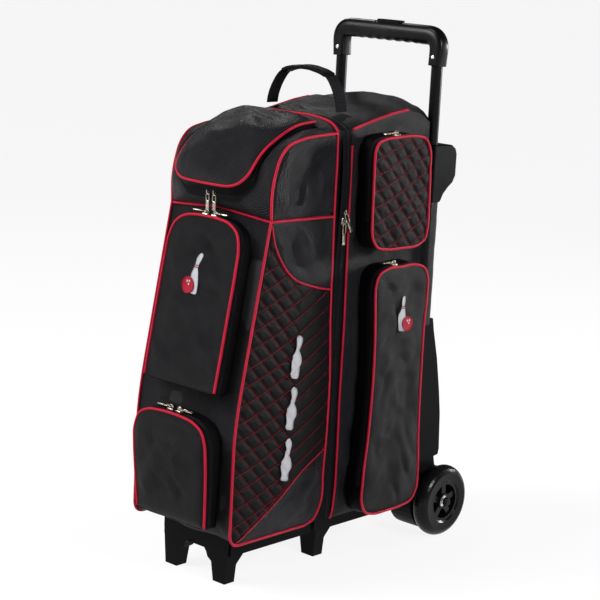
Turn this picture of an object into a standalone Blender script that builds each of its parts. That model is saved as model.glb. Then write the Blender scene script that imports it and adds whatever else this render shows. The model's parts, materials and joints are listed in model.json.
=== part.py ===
"""Upright four-ball roller bag, as separate parts.

Metres, +Z up. X runs along the axle, -Y is the front with its pockets, +Y the wheels and the tow handle.
Y is measured from the main zip while modelling; the empty "bag" then centres the whole bag on the origin.
"""
import math

import bmesh
import bpy
from mathutils import Euler, Matrix, Vector

GAP = 0.0003                # clearance between parts that touch

# Body: a rear half on the wheels and a front half that opens like a door
HALF_WIDTH = 0.1135         # outer face of both side panels
WALL = 0.0045               # padded fabric side wall
SEAM = 0.003                # each half stops this far from the zip line
BODY_BOTTOM = 0.084
BALL_FLOOR = 0.094
SHELF_TOP = (0.324, 0.554)  # lower and upper padded shelf
SHELF_THICK = 0.006
BACK = 0.232                # rear panel
FRONT = -0.235              # front panel at the bottom
FRONT_TOP = (-0.172, 0.620)  # y, z where the sloping front panel ends
TOP_FRONT = 0.745
TOP_REAR = 0.779
CUP_HEIGHT = 0.016
CUP_RADIUS = 0.072
NOTCH_HALF = 0.0935         # the rear corners are notched for the tow tubes outside this
NOTCH_FRONT = 0.2102

# Wheels
AXLE = (0.284, 0.065)       # y, z
AXLE_RADIUS = 0.004
AXLE_END = 0.1465
WHEEL_RADIUS = 0.065
WHEEL_FACES = (0.115, 0.149)
RIM_RADIUS = 0.036
BEARING_RADIUS = 0.0105
BEARING_HALF = 0.0045
BEARING_OUT = 0.005         # the bearing sits this far outside the wheel's middle
DRUM_RADIUS = 0.058

# Tow handle
TUBE_X = 0.109
TUBE_Y = 0.2245
TUBE_RADIUS = 0.010
SLEEVE_RADIUS = 0.0142
OUTER_RADIUS = 0.0117
GUARD_BOTTOM, GUARD_TOP = 0.612, 0.713
HOUSING_BOTTOM, HOUSING_TOP = 0.144, 0.405
GRIP_BOTTOM, GRIP_UNDER, GRIP_TOP = 0.847, 0.881, 0.914
GRIP_HALF_DEPTH = 0.0135
BUTTON_HALF = 0.028
BUTTON_HALF_DEPTH = 0.008
CORNER_BACK = NOTCH_FRONT + 0.0005   # hardware in the notches starts here
CORNER_HALF = NOTCH_HALF + GAP

# Legs
LEG_OUTER, LEG_INNER = 0.071, 0.044
TRAY_HALF = 0.080
TRAY_BOTTOM = 0.050

# Where the zip line lies in the finished bag, so that its box is centred on the origin
FRONT_MOST = FRONT - 0.0306
ZIP_Y = -(AXLE[0] + WHEEL_RADIUS + FRONT_MOST) / 2

# The joints' axes pass through these points
FRONT_HINGE = (-HALF_WIDTH - 0.002, 0, BODY_BOTTOM)
LID_HINGE = (0, -0.0525, 0.768)
HANDLE_PIVOT = (0, TUBE_Y, GRIP_BOTTOM)
CARRY_HINGE = (0, 0.018, 0.770)

DEGREE = math.pi / 180
SIDES = {"left": -1, "right": 1}

for old in list(bpy.data.objects):
    bpy.data.objects.remove(old, do_unlink=True)

PARTS = bpy.data.collections.new("bowling_ball_bag")
CUTTERS = bpy.data.collections.new("cutters")
bpy.context.scene.collection.children.link(PARTS)
bpy.context.scene.collection.children.link(CUTTERS)
BAG = bpy.data.objects.new("bag", None)
BAG.location = (0, ZIP_Y, 0)
PARTS.objects.link(BAG)


# ---------------------------------------------------------------- materials

def material(name, color, roughness, metallic=0.0):
    made = bpy.data.materials.new(name)
    made.use_nodes = True
    shader = made.node_tree.nodes["Principled BSDF"]
    shader.inputs["Base Color"].default_value = (*color, 1)
    shader.inputs["Roughness"].default_value = roughness
    shader.inputs["Metallic"].default_value = metallic
    return made


TWILL = material("black_twill", (0.018, 0.018, 0.021), 0.62)
GUSSET = material("dark_gusset", (0.012, 0.012, 0.014), 0.75)
WEBBING = material("webbing", (0.015, 0.015, 0.016), 0.80)
FOAM = material("grey_foam", (0.090, 0.090, 0.095), 0.90)
BOARD = material("stiff_board", (0.030, 0.030, 0.032), 0.60)
MOULDED = material("moulded_plastic", (0.020, 0.020, 0.022), 0.42)
GRIP = material("grip_plastic", (0.015, 0.015, 0.016), 0.35)
TYRE = material("urethane_tyre", (0.010, 0.010, 0.011), 0.22)
HUB = material("gloss_hub", (0.012, 0.012, 0.013), 0.18)
BLACK_TUBE = material("black_tube", (0.012, 0.012, 0.013), 0.30, 0.6)
STEEL = material("steel", (0.550, 0.550, 0.560), 0.30, 1.0)
NICKEL = material("antique_nickel", (0.420, 0.390, 0.330), 0.35, 1.0)


# ---------------------------------------------------------------- modelling helpers

def in_bag(obj, pivot=(0, 0, 0)):
    """Hang an object on the bag's empty with its origin at pivot, its shape staying where it is."""
    obj.data.transform(Matrix.Translation(-Vector(pivot)))
    obj.location = pivot
    obj.parent = BAG
    return obj


def part(name, mesh, look, pivot=(0, 0, 0), smooth=0.0):
    """A named sub-part; smooth is the angle in degrees under which its faces are shaded round."""
    mesh.name = name
    mesh.materials.clear()
    mesh.materials.append(look)
    if smooth:
        mesh.shade_smooth()
        mesh.set_sharp_from_angle(angle=smooth * DEGREE)
    obj = bpy.data.objects.new(name, mesh)
    PARTS.objects.link(obj)
    return in_bag(obj, pivot)


def cutter(mesh, pivot=(0, 0, 0)):
    """A shape that cuts or joins another one and isn't a part itself."""
    obj = bpy.data.objects.new("cutter", mesh)
    CUTTERS.objects.link(obj)
    obj.hide_render = True
    obj.display_type = "WIRE"
    return in_bag(obj, pivot)


def combine(obj, mesh, operation="DIFFERENCE"):
    modifier = obj.modifiers.new("combine", "BOOLEAN")
    modifier.operation = operation
    modifier.object = cutter(mesh)
    return obj


def soften(obj, width, segments=2, angle=40):
    """Rounded edges."""
    bevel = obj.modifiers.new("soften", "BEVEL")
    bevel.width = width
    bevel.segments = segments
    bevel.limit_method = "ANGLE"
    bevel.angle_limit = angle * DEGREE
    return obj


def evaluated(obj):
    """The object's evaluated mesh, welded and in its own place; the object is removed."""
    bpy.context.view_layer.update()
    graph = bpy.context.evaluated_depsgraph_get()
    mesh = bpy.data.meshes.new_from_object(obj.evaluated_get(graph))
    mesh.transform(obj.matrix_world)
    shape = bmesh.new()
    shape.from_mesh(mesh)
    bmesh.ops.remove_doubles(shape, verts=shape.verts, dist=1e-6)
    bmesh.ops.dissolve_limit(shape, angle_limit=0.5 * DEGREE, verts=shape.verts, edges=shape.edges)
    bmesh.ops.recalc_face_normals(shape, faces=shape.faces)
    shape.to_mesh(mesh)
    shape.free()
    bpy.data.objects.remove(obj, do_unlink=True)
    return mesh


def prism(axis, low, high, *loops):
    """Closed outlines filled and pushed along an axis. A loop inside the first one is a hole.

    Along X the points are (y, z), along Y they are (x, z) and along Z they are (x, y).
    """
    curve = bpy.data.curves.new("outline", "CURVE")
    curve.dimensions = "2D"
    curve.fill_mode = "BOTH"
    curve.extrude = (high - low) / 2
    for loop in loops:
        spline = curve.splines.new("POLY")
        spline.points.add(len(loop) - 1)
        for point, (u, v) in zip(spline.points, loop):
            point.co = (u, v, 0, 1)
        spline.use_cyclic_u = True
    obj = bpy.data.objects.new("outline", curve)
    PARTS.objects.link(obj)
    middle = (low + high) / 2
    if axis == "X":
        obj.rotation_euler = Euler((math.pi / 2, 0, math.pi / 2))
        obj.location = (middle, 0, 0)
    elif axis == "Y":
        obj.rotation_euler = Euler((math.pi / 2, 0, 0))
        obj.location = (0, middle, 0)
    else:
        obj.location = (0, 0, middle)
    return evaluated(obj)


def block(low, high):
    """A box between two corners."""
    low, high = Vector(low), Vector(high)
    shape = bmesh.new()
    bmesh.ops.create_cube(shape, size=1)
    bmesh.ops.scale(shape, vec=high - low, verts=shape.verts)
    bmesh.ops.translate(shape, vec=(low + high) / 2, verts=shape.verts)
    mesh = bpy.data.meshes.new("block")
    shape.to_mesh(mesh)
    shape.free()
    return mesh


def rod(start, end, radius, sides=24, end_radius=None):
    """A round bar, or a cone, from start to end."""
    start, end = Vector(start), Vector(end)
    along = end - start
    shape = bmesh.new()
    bmesh.ops.create_cone(
        shape, cap_ends=True, segments=sides, depth=along.length,
        radius1=radius, radius2=radius if end_radius is None else end_radius,
    )
    turn = Vector((0, 0, 1)).rotation_difference(along).to_matrix().to_4x4()
    bmesh.ops.transform(shape, matrix=Matrix.Translation((start + end) / 2) @ turn, verts=shape.verts)
    mesh = bpy.data.meshes.new("rod")
    shape.to_mesh(mesh)
    shape.free()
    return mesh


def turned(profile, centre, axis="Z", sides=32, ring=False):
    """A profile of (radius, height) points, running down its outer side, spun about an axis."""
    mesh = bpy.data.meshes.new("profile")
    edges = [(i, i + 1) for i in range(len(profile) - 1)]
    if ring:
        edges.append((len(profile) - 1, 0))
    mesh.from_pydata([(radius, 0, height) for radius, height in profile], edges, [])
    obj = bpy.data.objects.new("turned", mesh)
    PARTS.objects.link(obj)
    screw = obj.modifiers.new("screw", "SCREW")
    screw.steps = sides
    screw.render_steps = sides
    screw.use_merge_vertices = True
    screw.merge_threshold = 0.00001
    obj.location = centre
    if axis == "X":
        obj.rotation_euler = (0, math.pi / 2, 0)
    return evaluated(obj)


def arc(centre, radius, start, end, steps):
    """Points on an arc, its angles in degrees, both ends included."""
    points = []
    for i in range(steps + 1):
        angle = (start + (end - start) * i / steps) * DEGREE
        points.append((centre[0] + radius * math.cos(angle), centre[1] + radius * math.sin(angle)))
    return points


def rounded_rectangle(low, high, radius, steps=4):
    """An outline between two corners with four round corners."""
    (x0, y0), (x1, y1) = low, high
    return (
        arc((x1 - radius, y0 + radius), radius, -90, 0, steps)
        + arc((x1 - radius, y1 - radius), radius, 0, 90, steps)
        + arc((x0 + radius, y1 - radius), radius, 90, 180, steps)
        + arc((x0 + radius, y0 + radius), radius, 180, 270, steps)
    )


# ---------------------------------------------------------------- rear half, on the wheels

def rear_half():
    """Fabric shell open at the zip, with its shelves, ball cups and stiffening board."""
    outline = [
        (SEAM, BODY_BOTTOM), (0.196, BODY_BOTTOM), (BACK, 0.138), (BACK, 0.700), (0.212, TOP_REAR),
        (0.147, TOP_REAR), (0.060, 0.766), (SEAM, 0.757),
    ]
    shell = part("rear_shell", prism("X", -HALF_WIDTH, HALF_WIDTH, outline), TWILL)
    inside = HALF_WIDTH - WALL
    combine(shell, block((-inside, -0.02, BALL_FLOOR), (inside, 0.206, 0.747)))
    combine(shell, block((-0.089, 0.19, BALL_FLOOR + 0.05), (0.089, BACK - WALL, 0.700)))
    for side in SIDES.values():
        near, far = sorted((side * NOTCH_HALF, side * 0.15))
        combine(shell, block((near, NOTCH_FRONT, 0.05), (far, 0.26, 0.85)))
    part("back_board", block((-0.0885, 0.2243, 0.146), (0.0885, 0.2272, 0.698)), BOARD)
    for name, top in zip(("lower", "upper"), SHELF_TOP):
        shelf = block((-inside + GAP, 0.004, top - SHELF_THICK), (inside - GAP, 0.2057, top))
        part(f"rear_{name}_shelf", shelf, FOAM)
    for name, floor in (("lower", BALL_FLOOR), ("upper", SHELF_TOP[0])):
        ball_cup(f"rear_{name}_cup", 0.112, floor)


def ball_cup(name, y, floor):
    """A foam ring with a sloping seat that keeps a ball from rolling."""
    bottom = floor + GAP
    profile = [
        (CUP_RADIUS, bottom + CUP_HEIGHT), (CUP_RADIUS, bottom), (0.030, bottom),
        (0.030, bottom + 0.003), (0.060, bottom + CUP_HEIGHT),
    ]
    part(name, turned(profile, (0, y, 0), ring=True), FOAM, smooth=30)


def front_half():
    """Fabric shell open at the zip, with a sloping front panel and a compartment under the top lid."""
    outline = [
        (-SEAM, BODY_BOTTOM), (-0.215, BODY_BOTTOM), (-0.229, 0.094), (FRONT, 0.120), (FRONT, 0.250),
        (-0.228, 0.320), FRONT_TOP, (-0.190, 0.640), (-0.190, 0.652), (-0.172, 0.672),
        (-0.158, 0.712), (-0.128, 0.735), (-0.060, TOP_FRONT), (-0.052, 0.755), (-SEAM, 0.757),
    ]
    shell = part("front_shell", prism("X", -HALF_WIDTH, HALF_WIDTH, outline), TWILL, FRONT_HINGE)
    inside = HALF_WIDTH - WALL
    chamber = [
        (0.02, BALL_FLOOR), (-0.2225, BALL_FLOOR), (-0.2303, 0.118), (-0.2303, 0.250),
        (-0.2235, 0.319), (-0.1850, 0.548), (0.02, 0.548),
    ]
    combine(shell, prism("X", -inside, inside, chamber))
    compartment = [
        (-0.010, 0.558), (-0.178, 0.558), (-0.1680, 0.615), (-0.1850, 0.641), (-0.1850, 0.651),
        (-0.1670, 0.671), (-0.153, 0.710), (-0.125, 0.730), (-0.062, 0.738), (-0.010, 0.748),
    ]
    combine(shell, prism("X", -inside, inside, compartment))
    combine(shell, block((-0.082, -0.230, 0.668), (0.082, -0.062, 0.80)))
    part("front_shelf", block((-inside + GAP, -0.2180, SHELF_TOP[0] - SHELF_THICK),
                              (inside - GAP, -0.004, SHELF_TOP[0])), FOAM, FRONT_HINGE)
    ball_cup("front_lower_cup", -0.112, BALL_FLOOR)
    ball_cup("front_upper_cup", -0.104, SHELF_TOP[0])


def top_lid():
    """A hood over the top compartment, hinged along its rear edge."""
    outer = [
        (-0.0525, 0.766), (-0.095, 0.767), (-0.140, 0.754), (-0.178, 0.728), (-0.202, 0.695),
        (-0.210, 0.660),
    ]
    inner = [
        (-0.202, 0.659), (-0.1935, 0.692), (-0.171, 0.722), (-0.136, 0.746), (-0.095, 0.7575),
        (-0.0525, 0.7575),
    ]
    lid = part("top_lid", prism("X", -0.086, 0.086, outer + inner), TWILL, LID_HINGE)
    soften(lid, 0.003)


# ---------------------------------------------------------------- pockets

def pocket(name, width, height, depth, puff, place):
    """A hollow tray on a panel and the padded flap over it, hinged along its bottom edge.

    place puts the bottom middle of the pocket on its panel, with local X across, Y up and Z outwards.
    """
    radius = 0.030
    outline = rounded_rectangle((-width / 2, 0), (width / 2, height), radius)
    tray = prism("Z", GAP, GAP + depth, outline)
    shape = bmesh.new()
    shape.from_mesh(tray)
    outward = [face for face in shape.faces if face.normal.z > 0.9]
    bmesh.ops.delete(shape, geom=outward, context="FACES_ONLY")
    shape.to_mesh(tray)
    shape.free()
    tray.transform(place)
    body = part(name + "_pocket", tray, GUSSET)
    walls = body.modifiers.new("walls", "SOLIDIFY")
    walls.thickness = 0.003
    walls.offset = -1
    walls.use_even_offset = True
    front = prism("Z", depth + 2 * GAP, depth + 2 * GAP + puff, outline)
    front.transform(place)
    hinge = place @ Vector((0, 0, depth + 2 * GAP))
    return soften(part(name + "_flap", front, TWILL, hinge), 0.0035)


def pockets():
    tilt = math.atan2(FRONT_TOP[0] + 0.228, FRONT_TOP[1] - 0.320)
    lean = Matrix.Rotation(math.pi / 2 - tilt, 4, "X")
    upright = Matrix.Rotation(math.pi / 2, 4, "X")
    pocket("front_long", 0.172, 0.280, 0.018, 0.008,
           Matrix.Translation((0, -0.2264, 0.329)) @ lean)
    pocket("front_lower", 0.168, 0.182, 0.020, 0.010,
           Matrix.Translation((0, FRONT, 0.1095)) @ upright)
    for side, sign in SIDES.items():
        facing = Matrix.Rotation(sign * math.pi / 2, 4, "Z") @ upright
        for tier, bottom, height in (("upper", 0.549, 0.187), ("lower", 0.087, 0.427)):
            middle = (sign * HALF_WIDTH, 0.1045, bottom)
            pocket(f"{side}_{tier}", 0.158, height, 0.030, 0.008, Matrix.Translation(middle) @ facing)


# ---------------------------------------------------------------- bases and legs

def base(name, front, back, leg_front, leg_back, pivot=(0, 0, 0)):
    """A moulded tray across the bottom with two tapering legs joined by an arch."""
    look = part(name, block((-TRAY_HALF, front, TRAY_BOTTOM), (TRAY_HALF, back, BODY_BOTTOM - GAP)),
                MOULDED, pivot)
    middle = (LEG_OUTER + LEG_INNER) / 2
    arch = [(LEG_OUTER, 0), (0.0775, 0.066), (0.0775, 0.080), (-0.0775, 0.080), (-0.0775, 0.066),
            (-LEG_OUTER, 0), (-LEG_INNER, 0), (-0.038, 0.032)]
    arch += arc((0, 0.030), 0.030, 165, 15, 8)
    arch += [(0.038, 0.032), (LEG_INNER, 0)]
    combine(look, prism("Y", leg_front, leg_back, arch), "UNION")
    for sign in SIDES.values():
        flare = [(leg_back - 0.004, 0.012), (leg_back + 0.006, 0.030), (leg_back + 0.022, 0.046),
                 (leg_back + 0.045, 0.054), (leg_front + 0.004, 0.060)]
        near, far = sorted((sign * (middle - 0.012), sign * (middle + 0.012)))
        combine(look, prism("X", near, far, flare), "UNION")
    return look


def bases():
    base("front_base", -0.196, -SEAM - 0.001, -0.199, -0.176, FRONT_HINGE)
    base("rear_base", SEAM + 0.003, 0.210, 0.0167, 0.040)


# ---------------------------------------------------------------- wheels and their housing

def rear_housing():
    """Moulded piece behind and below the shell: it holds the axle and the feet of the tow tubes."""
    profile = [
        (CORNER_BACK, HOUSING_BOTTOM), (0.249, HOUSING_BOTTOM), (0.283, 0.149), (0.285, 0.160),
        (0.281, 0.225), (0.274, 0.270), (0.262, 0.330), (0.247, 0.385), (0.243, HOUSING_TOP),
        (CORNER_BACK, HOUSING_TOP),
    ]
    look = part("rear_housing", prism("X", -0.1225, 0.1225, profile), MOULDED, smooth=30)
    combine(look, block((-CORNER_HALF, 0.15, 0.10), (CORNER_HALF, BACK + GAP, 0.45)))
    beam = [(0.236, 0.150), (0.236, 0.060), (0.252, 0.042)]
    beam += arc(AXLE, 0.032, -135, 0, 5)
    beam += [(0.310, 0.110), (0.280, 0.152)]
    combine(look, prism("X", -0.070, 0.070, beam), "UNION")
    for sign in SIDES.values():
        drum_end = WHEEL_FACES[0] - 0.0025
        drum = rod((sign * 0.062, *AXLE), (sign * drum_end, *AXLE), DRUM_RADIUS, 32)
        combine(look, drum, "UNION")
        near, far = sorted((sign * 0.064, sign * (drum_end - 0.002)))
        neck = [(0.2370, 0.088), (0.300, 0.088), (0.283, 0.155), (0.2370, 0.155)]
        combine(look, prism("X", near, far, neck), "UNION")
        combine(look, rod((sign * TUBE_X, TUBE_Y, 0.150), (sign * TUBE_X, TUBE_Y, 0.45), OUTER_RADIUS + GAP))
    combine(look, rod((-0.2, *AXLE), (0.2, *AXLE), AXLE_RADIUS + 0.0001, 16))


def wheels():
    part("axle", rod((-AXLE_END, *AXLE), (AXLE_END, *AXLE), AXLE_RADIUS, 16), STEEL, (0, *AXLE), smooth=40)
    half = (WHEEL_FACES[1] - WHEEL_FACES[0]) / 2
    middle = sum(WHEEL_FACES) / 2
    for side, sign in SIDES.items():
        centre = (sign * middle, *AXLE)
        crown = arc((WHEEL_RADIUS - half, 0), half, 75, -75, 10)
        tread = [(RIM_RADIUS + 0.003, half - 0.002)] + crown + [(RIM_RADIUS + 0.003, -half + 0.002)]
        tread += [(RIM_RADIUS, -half + 0.004), (RIM_RADIUS, half - 0.004)]
        part(f"{side}_tyre", turned(tread, centre, "X", 48, ring=True), TYRE, centre, smooth=40)
        hub(f"{side}_hub", centre, half, sign)
        bore = AXLE_RADIUS + GAP
        bearing = [(BEARING_RADIUS, BEARING_HALF), (BEARING_RADIUS, -BEARING_HALF),
                   (bore, -BEARING_HALF), (bore, BEARING_HALF)]
        seat = (sign * (middle + BEARING_OUT), *AXLE)
        part(f"{side}_bearing", turned(bearing, seat, "X", 24, ring=True), STEEL, centre, smooth=40)
        cap = [(0.0, 0.004), (0.006, 0.0035), (0.0085, 0.001), (0.0085, -0.003), (0.0, -0.003)]
        if sign < 0:
            cap = [(radius, -height) for radius, height in reversed(cap)]
        place = (sign * (AXLE_END + 0.0033), *AXLE)
        part(f"{side}_axle_cap", turned(cap, place, "X", 20), GRIP, (0, *AXLE), smooth=40)


def hub(name, centre, half, sign):
    """A rim with five spokes and a boss bored for the bearing."""
    rim_radius = RIM_RADIUS - GAP
    rim = [(rim_radius, half - 0.0045), (rim_radius, -half + 0.0045),
           (0.0315, -half + 0.0045), (0.0315, half - 0.0045)]
    look = part(name, turned(rim, centre, "X", 40, ring=True), HUB, centre, smooth=40)
    middle = centre[0] + sign * 0.004
    spokes = []
    for i in range(5):
        angle = 90 + 72 * i
        spokes += arc(AXLE, 0.0330, angle - 9, angle + 9, 2)
        spokes += arc(AXLE, 0.0135, angle + 24, angle + 48, 1)
    combine(look, prism("X", middle - 0.005, middle + 0.005, spokes), "UNION")
    inner, outer = sorted((centre[0] - sign * 0.010, centre[0] + sign * 0.0115))
    combine(look, rod((inner, *AXLE), (outer, *AXLE), 0.0140, 24), "UNION")
    combine(look, rod((-0.2, *AXLE), (0.2, *AXLE), 0.0052, 20))
    seat = centre[0] + sign * BEARING_OUT
    inner, outer = sorted((seat - sign * (BEARING_HALF + GAP), sign * 0.2))
    combine(look, rod((inner, *AXLE), (outer, *AXLE), BEARING_RADIUS + GAP, 24))


# ---------------------------------------------------------------- tow handle and its guard

def tow_handle():
    """U-shaped grip on two tubes that slide in the outer tubes on the back."""
    half = TUBE_X + 0.0125
    inner = TUBE_X - 0.0125
    corner = 0.034
    outline = [(-half, GRIP_BOTTOM), (-inner, GRIP_BOTTOM)]
    outline += arc((-inner + 0.018, GRIP_UNDER - 0.016), 0.016, 180, 90, 4)
    outline += arc((inner - 0.018, GRIP_UNDER - 0.016), 0.016, 90, 0, 4)
    outline += [(inner, GRIP_BOTTOM), (half, GRIP_BOTTOM)]
    outline += arc((half + 0.006 - corner, GRIP_TOP - corner), corner, 0, 90, 6)
    outline += arc((-half - 0.006 + corner, GRIP_TOP - corner), corner, 90, 180, 6)
    low, high = TUBE_Y - GRIP_HALF_DEPTH, TUBE_Y + GRIP_HALF_DEPTH
    grip = part("handle_grip", prism("Y", low, high, outline), GRIP, HANDLE_PIVOT, smooth=40)
    soften(grip, 0.005, 2)
    well = prism("Z", GRIP_TOP - 0.012, GRIP_TOP + 0.02,
                 rounded_rectangle((-BUTTON_HALF, TUBE_Y - BUTTON_HALF_DEPTH),
                                   (BUTTON_HALF, TUBE_Y + BUTTON_HALF_DEPTH), 0.006))
    combine(grip, well)
    button = prism("Z", GRIP_TOP - 0.0075, GRIP_TOP + 0.003,
                   rounded_rectangle((-BUTTON_HALF + GAP, TUBE_Y - BUTTON_HALF_DEPTH + GAP),
                                     (BUTTON_HALF - GAP, TUBE_Y + BUTTON_HALF_DEPTH - GAP), 0.0057))
    part("release_button", button, MOULDED, (0, TUBE_Y, GRIP_TOP), smooth=30)
    for side, sign in SIDES.items():
        x = sign * TUBE_X
        combine(grip, rod((x, TUBE_Y, 0.80), (x, TUBE_Y, 0.884), TUBE_RADIUS + GAP, 24))
        bore = TUBE_RADIUS - 0.0013
        tube = [(TUBE_RADIUS, 0.8835), (TUBE_RADIUS, 0.170), (bore, 0.170), (bore, 0.8835)]
        part(f"{side}_inner_tube", turned(tube, (x, TUBE_Y, 0), ring=True, sides=24), BLACK_TUBE,
             HANDLE_PIVOT, smooth=40)
        part(f"{side}_release_rod", rod((x, TUBE_Y, 0.180), (x, TUBE_Y, 0.876), 0.003, 10), STEEL,
             HANDLE_PIVOT, smooth=60)
        rivet = [(0, 0.0012), (0.0022, 0.001), (0.0036, 0), (0.0036, -0.0005), (0, -0.0005)]
        place = Matrix.Translation((x, low - 0.0008, 0.862)) @ Matrix.Rotation(math.pi / 2, 4, "X")
        head = turned(rivet, (0, 0, 0), sides=16)
        head.transform(place)
        part(f"{side}_grip_rivet", head, STEEL, HANDLE_PIVOT, smooth=40)
        bore = TUBE_RADIUS + 0.0004
        tube = [(OUTER_RADIUS, 0.706), (OUTER_RADIUS, 0.1505), (bore, 0.1505), (bore, 0.706)]
        part(f"{side}_outer_tube", turned(tube, (x, TUBE_Y, 0), ring=True, sides=24), STEEL, smooth=40)
        bore = OUTER_RADIUS + GAP
        bottom, top = HOUSING_TOP + GAP, GUARD_BOTTOM - GAP
        sleeve = [(SLEEVE_RADIUS, top), (SLEEVE_RADIUS, bottom), (bore, bottom), (bore, top)]
        sleeve = turned(sleeve, (x, TUBE_Y, 0), ring=True, sides=24)
        part(f"{side}_tube_sleeve", sleeve, TWILL, smooth=40)


def upper_guard():
    """Moulded guard across the back that holds the tubes' top ends and takes knocks."""
    profile = [
        (CORNER_BACK, GUARD_BOTTOM), (0.236, GUARD_BOTTOM), (0.244, 0.626), (0.255, 0.636), (0.268, 0.645),
        (0.275, 0.657), (0.275, 0.695), (0.271, 0.705), (0.262, 0.711), (CORNER_BACK, GUARD_TOP),
    ]
    look = part("upper_guard", prism("X", -0.127, 0.127, profile), MOULDED, smooth=30)
    soften(look, 0.004)
    combine(look, block((-CORNER_HALF, 0.15, 0.50), (CORNER_HALF, BACK + GAP, 0.80)))
    combine(look, block((-0.080, 0.247, 0.56), (0.080, 0.30, 0.80)))
    for sign in SIDES.values():
        x = sign * TUBE_X
        combine(look, rod((x, TUBE_Y, 0.55), (x, TUBE_Y, 0.707), OUTER_RADIUS + GAP))
        combine(look, rod((x, TUBE_Y, 0.65), (x, TUBE_Y, 0.80), TUBE_RADIUS + 0.0004))


def carry_handle():
    """Webbing loop over the top, standing on the rear half beside the zip."""
    thick = 0.0045
    outer = [(-0.080, 0.7665), (-0.078, 0.786), (-0.064, 0.820), (-0.050, 0.835), (-0.020, 0.841)]
    outer += [(-x, z) for x, z in reversed(outer)]
    inner = []
    for x, z in reversed(outer):
        pull = thick if abs(x) < 0.055 else 0.6 * thick
        inner.append((x * (1 - thick / 0.075), max(z - pull, 0.7665)))
    part("carry_handle", prism("Y", 0.005, 0.031, outer + inner), WEBBING, CARRY_HINGE)


# ---------------------------------------------------------------- zip sliders and pulls

def zip_slider(name, place):
    """A slider body with an arched bridge; local Z points out of the zip and Y along it."""
    body = prism("Z", GAP, 0.0045, rounded_rectangle((-0.0045, -0.006), (0.0045, 0.006), 0.002, 2))
    body.transform(place)
    arch = [(-0.0045, 0.004), (-0.0045, 0.0092), (-0.0040, 0.0097), (0.0040, 0.0097), (0.0045, 0.0092),
            (0.0045, 0.004), (0.0035, 0.004), (0.0035, 0.0085), (-0.0035, 0.0085), (-0.0035, 0.004)]
    bridge = prism("X", -0.001, 0.001, arch)
    bridge.transform(place)
    look = part(name, body, NICKEL, place.translation)
    combine(look, bridge, "UNION")
    return look


def zip_pull(name, place, length=0.040):
    """A flat pull whose eye hangs on the bridge: local Z points out of the zip, and it hangs along -Y."""
    edge = [(0.0036, 0.0007), (0.0046, -0.0005), (0.0046, -0.0080), (0.0025, -0.0115),
            (0.0025, 0.0015 - length), (0.0012, -length)]
    edge += [(-x, y) for x, y in reversed(edge)]
    eye = rounded_rectangle((-0.0033, -0.0078), (0.0033, -0.0007), 0.0008, 2)
    slot = rounded_rectangle((-0.0012, 0.003 - length), (0.0012, 0.012 - length), 0.0010, 2)
    mesh = prism("Z", 0.0060, 0.0076, edge, eye, slot)
    mesh.transform(place)
    return part(name, mesh, NICKEL, place @ Vector((0, 0, 0.0068)))


def zips():
    side = Matrix.Rotation(math.pi / 2, 4, "Z") @ Matrix.Rotation(math.pi / 2, 4, "X")
    for name, z, swing in (("upper", 0.6150, 28), ("lower", 0.5990, 0)):
        place = Matrix.Translation((HALF_WIDTH, -0.005, z)) @ side
        zip_slider(f"{name}_slider", place)
        zip_pull(f"{name}_pull", place @ Matrix.Rotation(swing * DEGREE, 4, "Z"))
    front = Matrix.Rotation(math.pi / 2, 4, "X")
    for name, x in (("left", -0.0075), ("right", 0.0075)):
        place = Matrix.Translation((x, -0.190, 0.646)) @ front
        zip_slider(f"lid_{name}_slider", place)
        zip_pull(f"lid_{name}_pull", place, 0.030)


rear_half()
front_half()
top_lid()
pockets()
bases()
rear_housing()
wheels()
tow_handle()
upper_guard()
carry_handle()
zips()
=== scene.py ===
"""Looks of the upright roller bag for bowling balls: fabric skins, piping, zips, pockets and materials
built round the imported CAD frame. Lengths are in metres. Points are written with y measured from the
main zip, and new_piece moves them into the frame."""
import json
import math

import bpy
import numpy as np
from mathutils import Matrix, Vector, noise
from mathutils.geometry import delaunay_2d_cdt


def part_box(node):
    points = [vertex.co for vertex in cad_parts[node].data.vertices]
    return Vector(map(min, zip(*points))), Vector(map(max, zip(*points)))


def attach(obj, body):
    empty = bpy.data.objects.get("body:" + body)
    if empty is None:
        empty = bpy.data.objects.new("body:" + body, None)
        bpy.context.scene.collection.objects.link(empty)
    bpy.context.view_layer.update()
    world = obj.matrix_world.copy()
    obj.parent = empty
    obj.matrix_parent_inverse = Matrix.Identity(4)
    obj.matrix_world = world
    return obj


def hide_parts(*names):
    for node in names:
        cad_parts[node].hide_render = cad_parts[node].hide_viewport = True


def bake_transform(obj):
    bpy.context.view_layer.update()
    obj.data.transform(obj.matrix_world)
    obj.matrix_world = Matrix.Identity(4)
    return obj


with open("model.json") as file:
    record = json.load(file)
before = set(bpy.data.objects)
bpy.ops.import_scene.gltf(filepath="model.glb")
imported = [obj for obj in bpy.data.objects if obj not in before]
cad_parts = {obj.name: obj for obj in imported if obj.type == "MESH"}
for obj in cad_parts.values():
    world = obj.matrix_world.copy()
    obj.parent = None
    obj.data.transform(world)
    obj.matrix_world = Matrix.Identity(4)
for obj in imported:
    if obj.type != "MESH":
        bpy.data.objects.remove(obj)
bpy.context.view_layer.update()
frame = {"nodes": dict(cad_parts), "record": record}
NODES = frame["nodes"]

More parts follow.
